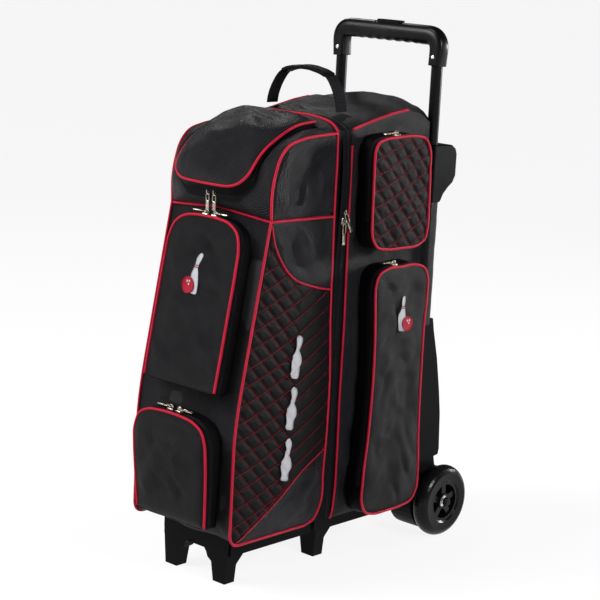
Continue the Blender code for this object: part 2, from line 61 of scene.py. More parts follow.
SEAM = 0.003                 # each half of the bag stops this far from the zip's middle
ZIP_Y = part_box("front_shell")[1].y + SEAM
HALF_WIDTH = 0.1135
BACK_CORNER_Y = 0.2102       # where the rear half's sides end, beside the tow tubes
PIPING_X = HALF_WIDTH + 0.0008
FOOT_Z = 0.084               # lower edge of the cloth
GUSSET_TOP = 0.7465
TOP_DROP = 0.0185            # how far the top falls from its middle to its edges, beside the zip
FRONT_POCKET_FOOT = 0.1095
POCKET_FLOOR = 0.0016
QUILT_DEPTH, POCKET_QUILT_DEPTH = 0.0034, 0.0028
PIPING = 0.0023              # radius of the piping
THREAD = 0.00042             # radius of a stitch
STITCH_STEP = 0.0012
CONTOUR_STEP = 0.0022        # spacing of the points of a quilting line
CONTOUR_INSET = 0.003        # quilting stops this far from its panel's edge
TEETH_PITCH = 0.0026
UNDER_POCKET = 0.0005        # a panel lies flat to this height where a pocket covers it
SIDES = {"left": -1, "right": 1}
BROAD, FINE, CREASE = 2.2, 0.5, 1.1       # shares of the broad folds, fine folds and creases in a wrinkle
FINE_SIZE = 0.35
CREASE_LEAN = np.array((0.6, 1.3, 0.8))   # creases run more up and across than front to back
FRONT, REAR = "front_half", "carcass"


# ---------------------------------------------------------------- curves and surfaces

def smooth(points, step=0.004, closed=False):
    """Points every step along a smooth curve through the given ones."""
    p = np.asarray(points, float)
    if closed:
        p = np.vstack([p[-2:], p, p[:3]])
    h = np.linalg.norm(np.diff(p, axis=0), axis=1)
    d = np.diff(p, axis=0) / h[:, None]
    t = np.empty_like(p)
    t[1:-1] = (d[:-1] * h[1:, None] + d[1:] * h[:-1, None]) / (h[:-1] + h[1:])[:, None]
    t[0], t[-1] = d[0], d[-1]
    out = []
    for i in range(len(h)):
        u = np.linspace(0, 1, 12, endpoint=False)[:, None]
        out.append((2 * u**3 - 3 * u**2 + 1) * p[i] + (u**3 - 2 * u**2 + u) * h[i] * t[i]
                   + (-2 * u**3 + 3 * u**2) * p[i + 1] + (u**3 - u**2) * h[i] * t[i + 1])
    if closed:
        out = out[2:-3]
        out.append(out[0][:1])
    else:
        out.append(p[-1:])
    return resample(np.vstack(out), step)


def resample(p, step=0.004, count=None):
    """The same line with evenly spaced points."""
    p = np.asarray(p, float)
    s = path_length(p)
    at = np.linspace(0, s[-1], count or max(2, int(round(s[-1] / step)) + 1))
    return np.stack([np.interp(at, s, p[:, k]) for k in range(p.shape[1])], 1)


def rounded(points, radii, closed=True):
    """The outline through the points with its corners rounded."""
    p = [np.asarray(q, float) for q in points]
    out = []
    for i, q in enumerate(p):
        r = radii if np.isscalar(radii) else radii[i]
        if r == 0 or (not closed and i in (0, len(p) - 1)):
            out.append(q)
            continue
        a, b = p[i - 1] - q, p[(i + 1) % len(p)] - q
        a = q + a / np.linalg.norm(a) * r
        b = q + b / np.linalg.norm(b) * r
        for u in np.linspace(0, 1, 9):
            out.append((1 - u) ** 2 * a + 2 * u * (1 - u) * q + u * u * b)
    return np.array(out)


def ring(outline, step):
    """The closed outline with its points spaced evenly all the way round."""
    return resample(np.vstack([outline, outline[:1]]), step)[:-1]


def mirror_half(half):
    """A line of (a, b) points that ends on the middle line, with its mirror image after it."""
    return list(half) + [(-a, b) for a, b in half[-2::-1]]


def laid(place, q, h=0.0):
    """The points of q on a placed shape, all at one height."""
    return place(q[:, 0], q[:, 1], np.full(len(q), h))


def unit(v):
    return v / np.maximum(np.linalg.norm(v, axis=-1), 1e-12)[..., None]


def path_length(p):
    """The distance run along the line at each of its points."""
    return np.concatenate([[0], np.cumsum(np.linalg.norm(np.diff(p, axis=0), axis=1))])


def normals_2d(p, closed=True):
    """Unit normals on the left of a 2D line."""
    if closed:
        t = np.roll(p, -1, 0) - np.roll(p, 1, 0)
    else:
        t = np.gradient(p, axis=0)
    t /= np.maximum(np.linalg.norm(t, axis=1), 1e-9)[:, None]
    return np.stack([-t[:, 1], t[:, 0]], 1)


def offset(p, by):
    """A closed 2D outline grown outwards by a distance."""
    area = np.sum(p[:, 0] * np.roll(p[:, 1], -1) - np.roll(p[:, 0], -1) * p[:, 1])
    return p - normals_2d(p) * by * math.copysign(1, area)


def distance(q, outline, closed=True):
    """Distance from each point of q to the outline."""
    a = outline
    b = np.roll(outline, -1, 0) if closed else outline[1:]
    a = a if closed else a[:-1]
    d = b - a
    dd = np.maximum((d * d).sum(1), 1e-14)
    best = np.full(len(q), 1e9)
    for i in range(len(a)):
        t = np.clip(((q - a[i]) @ d[i]) / dd[i], 0, 1)
        best = np.minimum(best, np.linalg.norm(q - a[i] - t[:, None] * d[i], axis=1))
    return best


def inside(q, outline):
    """Which points of q lie inside the closed outline."""
    hit = np.zeros(len(q), bool)
    a, b = outline, np.roll(outline, -1, 0)
    for (x0, y0), (x1, y1) in zip(a, b):
        if y0 == y1:
            continue
        crosses = (y0 > q[:, 1]) != (y1 > q[:, 1])
        hit ^= crosses & (q[:, 0] < (x1 - x0) * (q[:, 1] - y0) / (y1 - y0) + x0)
    return hit


def ripple(points, size, seed=0.0):
    """Smooth noise between -1 and 1 at each point."""
    shift = Vector((seed * 7.31, seed * 3.17, seed * 5.73))
    return np.array([noise.noise(Vector(p) / size + shift) for p in points])


# ---------------------------------------------------------------- pieces

def finish_piece(obj, look, body, slot=None, replaces=(), fill=None):
    obj.data.materials.clear()
    obj.data.materials.append(look)
    if body:
        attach(obj, body)
    slot or SLOTS[look.name]
    if replaces:
        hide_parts(*replaces)
    return obj


def write_uv(mesh, uv):
    """The cloth map, from one (u, v) point in metres for each vertex."""
    layer = mesh.uv_layers.get("cloth") or mesh.uv_layers.new(name="cloth")
    index = np.empty(len(mesh.loops), int)
    mesh.loops.foreach_get("vertex_index", index)
    layer.data.foreach_set("uv", np.asarray(uv, float)[index].ravel())


def new_object(name, data):
    obj = bpy.data.objects.new(name, data)
    bpy.context.scene.collection.objects.link(obj)
    return obj


def new_piece(name, shape, look, body, **more):
    """A smooth mesh object in the frame, riding on its body. shape is its vertices, faces and uv."""
    verts, faces, uv = shape
    mesh = bpy.data.meshes.new(name)
    placed = np.asarray(verts, float) + (0, ZIP_Y, 0)
    mesh.from_pydata(placed.tolist(), [], [tuple(int(i) for i in f) for f in faces])
    write_uv(mesh, uv)
    mesh.polygons.foreach_set("use_smooth", [True] * len(mesh.polygons))
    mesh.update()
    return finish_piece(new_object(name, mesh), look, body, **more)


class Surface:
    """A padded panel: a 2D outline laid on a shape by place(u, v, h), with h its height off that shape."""

    def __init__(self, outline, place, puff, rim, wrinkle=0.0, size=0.06, seed=0.0, relief=None, folds=(),
                 covered=()):
        self.outline, self.place, self.puff, self.rim = np.asarray(outline, float), place, puff, rim
        self.wrinkle, self.size, self.seed = wrinkle, size, seed
        self.relief, self.folds, self.covered = relief, folds, covered

    def height(self, q):
        d = distance(q, self.outline)
        share = np.clip(d / self.rim, 0, 1)
        h = self.puff * np.sqrt(np.maximum(1 - (1 - share) ** 2, 0))
        if self.wrinkle:
            base = self.place(q[:, 0], q[:, 1], np.zeros(len(q)))
            broad = ripple(base, self.size, self.seed)
            fine = ripple(base, self.size * FINE_SIZE, self.seed + 1)
            crease = np.clip(1 - 3.2 * np.abs(ripple(base * CREASE_LEAN, self.size, self.seed + 2)), 0, 1)
            h += self.wrinkle * (BROAD * broad + FINE * fine - CREASE * crease) * share
        for line, width, depth in self.folds:
            h += depth * np.exp(-(distance(q, np.array(line), closed=False) / width) ** 2) * share
        if self.relief:
            h += self.relief(q[:, 0], q[:, 1]) * np.clip(d / 0.006, 0, 1)
        for outline in self.covered:
            h = np.where(inside(q, outline), np.minimum(h, UNDER_POCKET), h)
        return h

    def at(self, q, lift=0.0):
        q = np.asarray(q, float)
        return self.place(q[:, 0], q[:, 1], self.height(q) + lift)

    def mesh(self, spacing, lift=0.0, outline=None):
        """Vertices, faces and uv of the panel, or of a patch on it with an outline of its own."""
        edge = self.outline if outline is None else np.asarray(outline, float)
        lo, hi = edge.min(0), edge.max(0)
        count = np.maximum(((hi - lo) / spacing).astype(int), 1) + 1
        u, v = np.meshgrid(np.linspace(lo[0], hi[0], count[0]), np.linspace(lo[1], hi[1], count[1]))
        grid = np.stack([u.ravel(), v.ravel()], 1)
        grid = grid[inside(grid, edge)]
        grid = grid[distance(grid, edge) > 0.4 * spacing]
        flat = np.vstack([edge, grid])
        n = len(edge)
        made = delaunay_2d_cdt([Vector(p) for p in flat], [(i, (i + 1) % n) for i in range(n)], [], 1, 1e-7)
        q = np.array([tuple(p) for p in made[0]])
        faces = made[2]
        verts = self.at(q, lift)
        a, b, c = (verts[list(i)] for i in zip(*[f[:3] for f in faces]))
        up = self.at(q[:1] * 0 + q.mean(0), lift + 0.001) - self.at(q[:1] * 0 + q.mean(0), lift)
        if (np.cross(b - a, c - a).sum(0) @ up[0]) < 0:
            faces = turned_over(faces)
        return verts, faces, q


def flat(outline, place, wrinkle=0.0, size=0.06, seed=0.0):
    """A panel with no puff: a lining or a facing."""
    return Surface(outline, place, 0, 0.01, wrinkle, size, seed)


def panel(name, surface, look, body, spacing=0.005, **more):
    return new_piece(name, surface.mesh(spacing), look, body, **more)


def loft_mesh(rows):
    """Vertices, faces and uv of a surface through rows of points, each row as long as the others."""
    rows = np.asarray(rows, float)
    m, n = rows.shape[:2]
    faces = [(i * n + j, i * n + j + 1, (i + 1) * n + j + 1, (i + 1) * n + j)
             for i in range(m - 1) for j in range(n - 1)]
    across = np.linalg.norm(np.diff(rows, axis=0), axis=2).mean(1)
    along = np.linalg.norm(np.diff(rows, axis=1), axis=2).mean(0)
    v = np.concatenate([[0], np.cumsum(across)])
    u = np.concatenate([[0], np.cumsum(along)])
    uv = np.stack([np.tile(u, m), np.repeat(v, n)], 1)
    return rows.reshape(-1, 3), faces, uv


def turned_over(faces):
    return [tuple(reversed(f)) for f in faces]


def loft(name, rows, look, body, flip=False, wrinkle=0.0, size=0.05, seed=0.0, **more):
    grid = np.asarray(rows, float)
    verts, faces, uv = loft_mesh(grid)
    if flip:
        faces = turned_over(faces)
    if wrinkle:
        m, n = grid.shape[:2]
        normal = unit(np.cross(np.gradient(grid, axis=1), np.gradient(grid, axis=0)).reshape(-1, 3))
        fade = np.repeat(np.sin(np.linspace(0, math.pi, m)), n)
        verts = verts + normal * (wrinkle * fade * ripple(verts, size, seed))[:, None]
    return new_piece(name, (verts, faces, uv), look, body, **more)


def join_meshes(parts):
    """One vertex, face and uv list from several."""
    verts, faces, uvs, base = [], [], [], 0
    for v, f, q in parts:
        verts.append(v)
        uvs.append(q)
        faces += [tuple(i + base for i in face) for face in f]
        base += len(v)
    return np.vstack(verts), faces, np.vstack(uvs)


def tube_mesh(line, radius, sides=10, closed=False):
    """A round tube along a line, with its ends drawn in."""
    p = np.asarray(line, float)
    if closed and np.linalg.norm(p[0] - p[-1]) < 1e-6:
        p = p[:-1]
    if closed:
        t = np.roll(p, -1, 0) - np.roll(p, 1, 0)
    else:
        t = np.gradient(p, axis=0)
    t /= np.linalg.norm(t, axis=1)[:, None]
    side = np.cross(t[0], (0, 0, 1) if abs(t[0][2]) < 0.9 else (1, 0, 0))
    side /= np.linalg.norm(side)
    sides_at = []
    for k in range(len(p)):
        side = side - t[k] * (side @ t[k])
        side /= np.linalg.norm(side)
        sides_at.append(side)
    a = np.array(sides_at)
    b = np.cross(t, a)
    turn = np.linspace(0, 2 * math.pi, sides, endpoint=False)
    r = np.full(len(p), radius)
    if not closed:
        p = np.vstack([p[:1], p, p[-1:]])
        a, b = np.vstack([a[:1], a, a[-1:]]), np.vstack([b[:1], b, b[-1:]])
        r = np.concatenate([[radius * 0.05], r, [radius * 0.05]])
    ring = (a[:, None] * np.cos(turn)[None, :, None] + b[:, None] * np.sin(turn)[None, :, None])
    verts = (p[:, None] + ring * r[:, None, None]).reshape(-1, 3)
    n = len(p)
    faces = []
    for i in range(n if closed else n - 1):
        for j in range(sides):
            k, m = (i + 1) % n, (j + 1) % sides
            faces.append((i * sides + j, i * sides + m, k * sides + m, k * sides + j))
    uv = np.stack([np.repeat(path_length(p), sides), np.tile(turn * radius, n)], 1)
    return verts, faces, uv


def tubes(name, lines, radius, look, body, closed=False, sides=10, **more):
    shape = join_meshes([tube_mesh(line, radius, sides, closed) for line in lines])
    return new_piece(name, shape, look, body, **more)


def piping(name, lines, body, radius=PIPING, **more):
    tubes(name, lines, radius, RED, body, **more)


def stitches(line):
    """The separate stitches of a seam along a line: four steps sewn, then one step's gap."""
    p = resample(line, STITCH_STEP)
    return [p[i:i + 5] for i in range(0, len(p) - 4, 5)]


def seam(name, lines, look, body, radius=THREAD, **more):
    parts = [tube_mesh(stitch, radius, 5) for line in lines for stitch in stitches(line)]
    new_piece(name, join_meshes(parts), look, body, **more)


def boxes_mesh(centres, along, out, size):
    """Small blocks at the centres, size along, across and out."""
    along = unit(along)
    out = unit(out - along * (out * along).sum(1)[:, None])
    across = np.cross(along, out)
    verts, faces = [], []
    corners = [(-1, -1, -1), (1, -1, -1), (1, 1, -1), (-1, 1, -1), (-.7, -.8, 1), (.7, -.8, 1), (.7, .8, 1),
               (-.7, .8, 1)]
    quads = [(3, 2, 1, 0), (4, 5, 6, 7), (0, 1, 5, 4), (1, 2, 6, 5), (2, 3, 7, 6), (3, 0, 4, 7)]
    for i, c in enumerate(centres):
        verts += [c + x * size[0] * along[i] + y * size[1] * across[i] + z * size[2] * out[i]
                  for x, y, z in corners]
        faces += [tuple(8 * i + k for k in quad) for quad in quads]
    return np.array(verts), faces, np.array(verts)[:, :2]


def zip_half(name, line, out, toward, body, tape=0.011, lift=0.0006):
    """Half a zip: its cloth tape and the row of teeth along its edge.

    At each point of the line, out leads away from the cloth and toward leads across this half's tape.
    """
    p = np.asarray(line, float)
    t = unit(np.gradient(p, axis=0))
    out = unit(out * np.ones_like(p))
    across = toward * np.ones_like(p)
    across = unit(across - t * (across * t).sum(1)[:, None] - out * (across * out).sum(1)[:, None])
    rows = [p + across * w + out * (lift + h) for w, h in
            ((0.0005, 0.0010), (0.0016, 0.0012), (0.0030, 0.0006), (tape * 0.6, 0.0004), (tape, 0.0))]
    loft(name + "_tape", rows, ZIP_TAPE, body, flip=(np.cross(t, across) * out).sum() < 0)
    q = resample(p, TEETH_PITCH)
    o, a, tq = resample_with(p, out, q), resample_with(p, across, q), unit(np.gradient(q, axis=0))
    shift = tq * (0.25 * TEETH_PITCH if across[0].sum() > 0 else -0.25 * TEETH_PITCH)
    teeth = boxes_mesh(q + a * 0.0011 + o * (lift + 0.0012) + shift, tq, o, (0.0007, 0.0014, 0.0008))
    new_piece(name + "_teeth", teeth, COIL, body)


def resample_with(p, values, q):
    """The values given along line p, read at the points of its resampled copy q."""
    s = path_length(p)
    at = np.linspace(0, s[-1], len(q))
    return np.stack([np.interp(at, s, values[:, k]) for k in range(3)], 1)


# ---------------------------------------------------------------- materials

class Look:
    """A procedural material and short calls for its nodes."""

    def __init__(self, name, color, roughness, metallic=0.0, **sockets):
        self.material = bpy.data.materials.new(name)
        self.material.use_nodes = True
        self.tree = self.material.node_tree
        self.shader = self.tree.nodes["Principled BSDF"]
        self.shader.inputs["Base Color"].default_value = (*color, 1)
        self.shader.inputs["Roughness"].default_value = roughness
        self.shader.inputs["Metallic"].default_value = metallic
        for key, value in sockets.items():
            self.shader.inputs[key.replace("_", " ")].default_value = value

    def node(self, kind, **values):
        node = self.tree.nodes.new(kind)
        for key, value in values.items():
            if hasattr(node, key):
                setattr(node, key, value)
            else:
                node.inputs[key.replace("_", " ")].default_value = value
        return node

    def link(self, output, socket):
        self.tree.links.new(output, socket)

    def math(self, operation, a, b=0.0):
        node = self.node("ShaderNodeMath", operation=operation)
        for socket, value in zip(node.inputs, (a, b)):
            if isinstance(value, (int, float)):
                socket.default_value = value
            else:
                self.link(value, socket)
        return node.outputs[0]

    def cloth(self):
        """The cloth's own coordinates, in metres."""
        node = self.node("ShaderNodeUVMap", uv_map="cloth")
        split = self.node("ShaderNodeSeparateXYZ")
        self.link(node.outputs[0], split.inputs[0])
        return split.outputs[0], split.outputs[1]

    def object(self):
        return self.node("ShaderNodeTexCoord").outputs["Object"]

    def noise(self, scale, detail=3.0, rough=0.55, vector=None):
        node = self.node("ShaderNodeTexNoise", Scale=scale, Detail=detail, Roughness=rough)
        self.link(vector or self.object(), node.inputs["Vector"])
        return node.outputs["Fac"]

    def spread(self, value, low, high, start=0.0, end=1.0):
        node = self.node("ShaderNodeMapRange")
        self.link(value, node.inputs["Value"])
        for key, number in zip(("From Min", "From Max", "To Min", "To Max"), (start, end, low, high)):
            node.inputs[key].default_value = number
        return node.outputs[0]

    def tint(self, factor, dark, light):
        node = self.node("ShaderNodeMix", data_type="RGBA")
        self.link(factor, node.inputs[0])
        node.inputs[6].default_value = (*dark, 1)
        node.inputs[7].default_value = (*light, 1)
        self.link(node.outputs[2], self.shader.inputs["Base Color"])

    def rough(self, value):
        self.link(value, self.shader.inputs["Roughness"])

    def bump(self, height, distance):
        node = self.node("ShaderNodeBump", Strength=1.0, Distance=distance)
        self.link(height, node.inputs["Height"])
        self.link(node.outputs[0], self.shader.inputs["Normal"])

    def waves(self, value, period):
        return self.math("SINE", self.math("MULTIPLY", value, 2 * math.pi / period))


def fabric(name, dark, light, roughness, yarn, dobby, relief, gloss, sheen=0.0):
    """Woven cloth: yarns crossing under a diagonal pattern of raised points."""
    look = Look(name, dark, roughness, Sheen_Weight=sheen, Sheen_Roughness=0.45, Specular_IOR_Level=gloss)
    u, v = look.cloth()
    weave = look.math("MULTIPLY", look.waves(u, yarn), look.waves(v, yarn))
    points = look.math("MULTIPLY", look.waves(u, dobby), look.waves(v, dobby))
    raised = look.spread(points, 0, 1, 0.25, 0.8)
    height = look.math("ADD", look.math("MULTIPLY", weave, 0.35), raised)
    # The raised points are painted lighter than the ground: a painted glint on the raised yarns, varied at
    # random by the noise.
    mix = look.math("MULTIPLY", raised, look.spread(look.noise(24.0), 0.65, 1.0, 0.3, 0.7))
    look.tint(mix, dark, light)
    look.rough(look.spread(mix, roughness + 0.08, roughness - 0.10))
    look.bump(height, relief)
    return look.material


def webbing_look():
    """Strap woven in ribs along its length."""
    look = Look("webbing", (0.003, 0.003, 0.004), 0.7, Specular_IOR_Level=0.06)
    u, v = look.cloth()
    ribs = look.waves(v, 0.0024)
    cross = look.waves(look.math("ADD", u, look.math("MULTIPLY", ribs, 0.0004)), 0.0018)
    height = look.math("ADD", ribs, look.math("MULTIPLY", cross, 0.6))
    # The weave's high points are painted lighter and its low points darker: painted shade between the ribs.
    look.tint(look.spread(height, 0, 1, -1.6, 1.6), (0.002, 0.002, 0.003), (0.014, 0.014, 0.016))
    look.bump(height, 0.00025)
    return look.material


def tape_look():
    """Zip tape: a close herringbone."""
    look = Look("zip_tape", (0.003, 0.003, 0.004), 0.8, Specular_IOR_Level=0.05)
    u, v = look.cloth()
    bones = look.waves(look.math("ADD", u, look.math("ABSOLUTE", look.waves(v, 0.004))), 0.0016)
    # The herringbone's ridges are painted lighter and its grooves darker: painted shade in the grooves.
    look.tint(look.spread(bones, 0, 1, -1, 1), (0.002, 0.002, 0.003), (0.012, 0.012, 0.014))
    look.bump(bones, 0.00012)
    return look.material


def piping_look(name, dark, light, roughness):
    """Cord covered with satin cloth, cut on the bias."""
    look = Look(name, dark, roughness, Specular_IOR_Level=0.12)
    u, v = look.cloth()
    twist = look.waves(look.math("ADD", u, v), 0.0016)
    patches = look.noise(60.0)
    # Colour: the twist's ridges painted lighter and its grooves darker, a painted highlight and painted
    # shade, mixed with patches of tone that differ at random.
    mix = look.math("ADD", look.math("MULTIPLY", look.spread(twist, 0, 1, -1, 1), 0.45),
                    look.math("MULTIPLY", patches, 0.55))
    look.tint(mix, dark, light)
    look.rough(look.spread(mix, roughness + 0.12, roughness - 0.1))
    look.bump(twist, 0.00010)
    return look.material


def plastic_look(name, dark, light, roughness, gloss, grain=900.0, depth=0.00006):
    """Moulded plastic: fine grain, slightly uneven gloss, and scuffs."""
    look = Look(name, dark, roughness, Specular_IOR_Level=gloss)
    scuff = look.noise(14.0, 6.0, 0.65)
    look.tint(look.spread(scuff, 0, 1, 0.35, 0.7), dark, light)
    look.rough(look.spread(scuff, roughness - 0.05, roughness + 0.1, 0.3, 0.7))
    look.bump(look.noise(grain, 2.0), depth)
    return look.material


def metal_look(name, dark, light, roughness, metallic=1.0, stretch=(1, 1, 1), gloss=0.5):
    """Metal with tarnish and fine drawing lines."""
    look = Look(name, dark, roughness, metallic, Specular_IOR_Level=gloss)
    scale = look.node("ShaderNodeMapping", vector_type="POINT")
    scale.inputs["Scale"].default_value = stretch
    look.link(look.object(), scale.inputs["Vector"])
    drawn = look.noise(160.0, 3.0, 0.6, scale.outputs[0])
    look.tint(look.spread(drawn, 0, 1, 0.3, 0.7), dark, light)
    look.rough(look.spread(drawn, roughness - 0.06, roughness + 0.1, 0.3, 0.7))
    look.bump(drawn, 0.00003)
    return look.material


def foam_look():
    look = Look("foam", (0.045, 0.045, 0.048), 0.9)
    cells = look.node("ShaderNodeTexVoronoi", Scale=420.0)
    look.link(look.object(), cells.inputs["Vector"])
    # The cells' pits are painted darker than their rims: painted shade in the pores.
    look.tint(cells.outputs["Distance"], (0.030, 0.030, 0.033), (0.070, 0.070, 0.074))
    look.bump(cells.outputs["Distance"], 0.0006)
    return look.material


# The second colour of each cloth is the painted glint laid on its raised points.
TWILL = fabric("black_twill", (0.0002, 0.0002, 0.0004), (0.046, 0.046, 0.056), 0.34, 0.0010, 0.0045, 0.0005,
               0.14)
SATIN_TWILL = fabric("fine_twill", (0.0009, 0.0009, 0.0013), (0.014, 0.014, 0.018), 0.33, 0.0009, 0.0042,
                     0.0003, 0.10)
QUILT = fabric("quilted_fabric", (0.0012, 0.0011, 0.0014), (0.007, 0.006, 0.007), 0.44, 0.0009, 0.0026,
               0.00016, 0.07)
GUSSET = fabric("gusset_fabric", (0.0008, 0.0008, 0.0010), (0.005, 0.005, 0.006), 0.50, 0.0010, 0.0040,
                0.00018, 0.06)
LINING = fabric("lining", (0.016, 0.016, 0.018), (0.040, 0.040, 0.044), 0.5, 0.0008, 0.0016, 0.00010, 0.12,
                0.02)
STRAP = webbing_look()
ZIP_TAPE = tape_look()
# In these cord looks the second colour lies on the twist's ridges, a painted highlight, and in patches of
# random tone.
RED = piping_look("red_piping", (0.29, 0.003, 0.015), (0.50, 0.010, 0.042), 0.5)
RED_THREAD = piping_look("red_thread", (0.22, 0.002, 0.012), (0.38, 0.006, 0.026), 0.55)
BLACK_THREAD = piping_look("black_thread", (0.012, 0.012, 0.013), (0.030, 0.030, 0.032), 0.6)
EMBROIDERY = piping_look("white_embroidery", (0.26, 0.26, 0.28), (0.50, 0.50, 0.53), 0.45)
COIL = plastic_look("zip_coil", (0.006, 0.006, 0.007), (0.012, 0.012, 0.013), 0.35, 0.10)
MOULDED = plastic_look("moulded_plastic", (0.0012, 0.0012, 0.0016), (0.0030, 0.0030, 0.0037), 0.42, 0.05)
GRIP = plastic_look("grip_plastic", (0.0016, 0.0016, 0.0020), (0.0034, 0.0034, 0.0042), 0.28, 0.14)
TYRE = plastic_look("tyre", (0.003, 0.003, 0.0035), (0.006, 0.006, 0.007), 0.22, 0.13, 300.0, 0.00002)
HUB = plastic_look("hub", (0.004, 0.004, 0.0045), (0.007, 0.007, 0.008), 0.16, 0.16, 500.0, 0.00002)
TUBE = metal_look("black_tube", (0.0012, 0.0012, 0.0018), (0.003, 0.003, 0.004), 0.30, 0.0, (1, 1, 0.04),
                  0.12)
STEEL = metal_look("steel", (0.80, 0.80, 0.81), (0.95, 0.95, 0.95), 0.35)
NICKEL = metal_look("antique_nickel", (0.30, 0.26, 0.20), (0.62, 0.57, 0.47), 0.28)
FOAM = foam_look()
BOARD = plastic_look("board", (0.020, 0.020, 0.021), (0.035, 0.035, 0.037), 0.55, 0.5, 200.0, 0.0001)

SLOT_LOOK = {"black_twill": TWILL, "quilted_fabric": QUILT, "zip_gusset": GUSSET, "red_piping": RED,
             "red_thread": RED_THREAD, "zip_coil": COIL, "webbing": STRAP, "foam": FOAM, "board": BOARD,
             "moulded_plastic": MOULDED, "grip_plastic": GRIP, "tyre": TYRE, "hub": HUB, "black_tube": TUBE,
             "steel": STEEL, "antique_nickel": NICKEL, "emblem": EMBROIDERY}
# The record's slot that goes with each look
SLOTS = {look.name: slot for slot, look in SLOT_LOOK.items()}
SLOTS |= {SATIN_TWILL.name: "black_twill", LINING.name: "black_twill", BLACK_THREAD.name: "black_twill",
          ZIP_TAPE.name: "zip_gusset"}
EDGE_RADIUS = {"moulded_plastic": 0.0016, "grip_plastic": 0.0012, "hub": 0.0006, "steel": 0.0004,
               "antique_nickel": 0.00025, "board": 0.0005}
BASE_EDGE_RADIUS = 0.0040


def add_bevel(obj, width, angle):
    bevel = obj.modifiers.new("edges", "BEVEL")
    bevel.width, bevel.segments, bevel.angle_limit = width, 3, math.radians(angle)
    return bevel


def dress_nodes():
    """Give every CAD node its material, and the hard ones rounded edges."""
    for entry in frame["record"]["subparts"]:
        obj, slot = NODES[entry["node"]], entry["material_slot"]
        obj.data.materials.clear()
        obj.data.materials.append(SLOT_LOOK[slot])
        if slot in EDGE_RADIUS:
            is_base = entry["node"].endswith("_base")
            add_bevel(obj, BASE_EDGE_RADIUS if is_base else EDGE_RADIUS[slot], 35).harden_normals = False
            obj.data.polygons.foreach_set("use_smooth", [True] * len(obj.data.polygons))
            obj.modifiers.new("normals", "WEIGHTED_NORMAL").keep_sharp = True


# ---------------------------------------------------------------- the bag's own lines

FRONT_PATH = rounded([(-0.003, 0.084), (-0.235, 0.084), (-0.235, 0.262), (-0.228, 0.320), (-0.1735, 0.6130)],
                     [0, 0.022, 0.03, 0.03, 0], closed=False)
ZIP_PIPING = [(-0.060, 0.0845), (-0.036, 0.092), (-0.0225, 0.112), (-0.018, 0.175), (-0.0145, 0.252),
              (-0.0145, 0.329),
              (-0.021, 0.433), (-0.024, 0.543), (-0.0255, 0.607), (-0.026, 0.650), (-0.0255, 0.700),
              (-0.027, 0.735)]
S_LINE = [(-0.1735, 0.613), (-0.1745, 0.656), (-0.169, 0.686), (-0.160, 0.710), (-0.144, 0.728),
          (-0.109, 0.739),
          (-0.060, 0.743), (-0.027, 0.744)]
ARC_PIPING = [(-0.172, 0.606), (-0.162, 0.572), (-0.146, 0.545), (-0.124, 0.521), (-0.102, 0.507),
              (-0.082, 0.500),
              (-0.055, 0.492), (-0.0235, 0.486)]
DIAGONAL = [(-0.2345, 0.082), (-0.215, 0.091), (-0.172, 0.114), (-0.120, 0.146), (-0.074, 0.180),
            (-0.0175, 0.212)]
REAR_PIPING = [(0.004, 0.084), (0.008, 0.092), (0.0115, 0.114), (0.0140, 0.197), (0.0125, 0.287),
               (0.0130, 0.429),
               (0.0112, 0.531), (0.0100, 0.609), (0.0090, 0.681), (0.0085, 0.735)]
# Deep folds in the cloth, each a line with its width and its height
UPPER_FOLDS = [([(-0.046, 0.732), (-0.070, 0.705), (-0.096, 0.684), (-0.110, 0.655), (-0.114, 0.620)], 0.0090,
                -0.0075),
               ([(-0.150, 0.700), (-0.143, 0.668), (-0.146, 0.632)], 0.0130, 0.0045),
               ([(-0.066, 0.672), (-0.070, 0.640)], 0.0150, 0.0045),
               ([(-0.040, 0.705), (-0.044, 0.625)], 0.0070, 0.0025)]
MIDDLE_FOLDS = [([(-0.160, 0.600), (-0.125, 0.575), (-0.100, 0.535)], 0.0080, -0.0040),
                ([(-0.105, 0.603), (-0.080, 0.560), (-0.070, 0.520)], 0.0100, 0.0035),
                ([(-0.040, 0.598), (-0.060, 0.540)], 0.0080, -0.0030)]
LOWER_FOLDS = [([(-0.190, 0.092), (-0.120, 0.122), (-0.060, 0.165)], 0.0080, -0.0030),
               ([(-0.120, 0.092), (-0.070, 0.120), (-0.040, 0.180)], 0.0100, 0.0035)]


def side_place(sign, base=HALF_WIDTH):
    return lambda u, v, h: np.stack([sign * (base + h), u, v], 1)


def quilt_front(y, z):
    """Numbers of the two families of quilting lines on the front half's side."""
    t = y + 0.235
    return (z - 0.25 * t - 0.80 * t ** 2) / 0.0285, (z + 1.05 * t) / 0.0315


def quilt_pocket(y, z):
    """The same for the upper side pockets."""
    t = y - 0.028
    return (z - 0.27 * t - 1.10 * t ** 2) / 0.0270, (z + 1.10 * t) / 0.0330


def pillows(lines, depth, fade=None):
    """The relief of quilting: cushions between the lines of both families."""
    def relief(u, v):
        a, b = (np.minimum(1.25 * np.abs(np.sin(math.pi * number)), 1) ** 0.8 for number in lines(u, v))
        if fade is not None:
            b = 1 - (1 - b) * fade(u, v)
        return depth * (a * b - 1)
    return relief


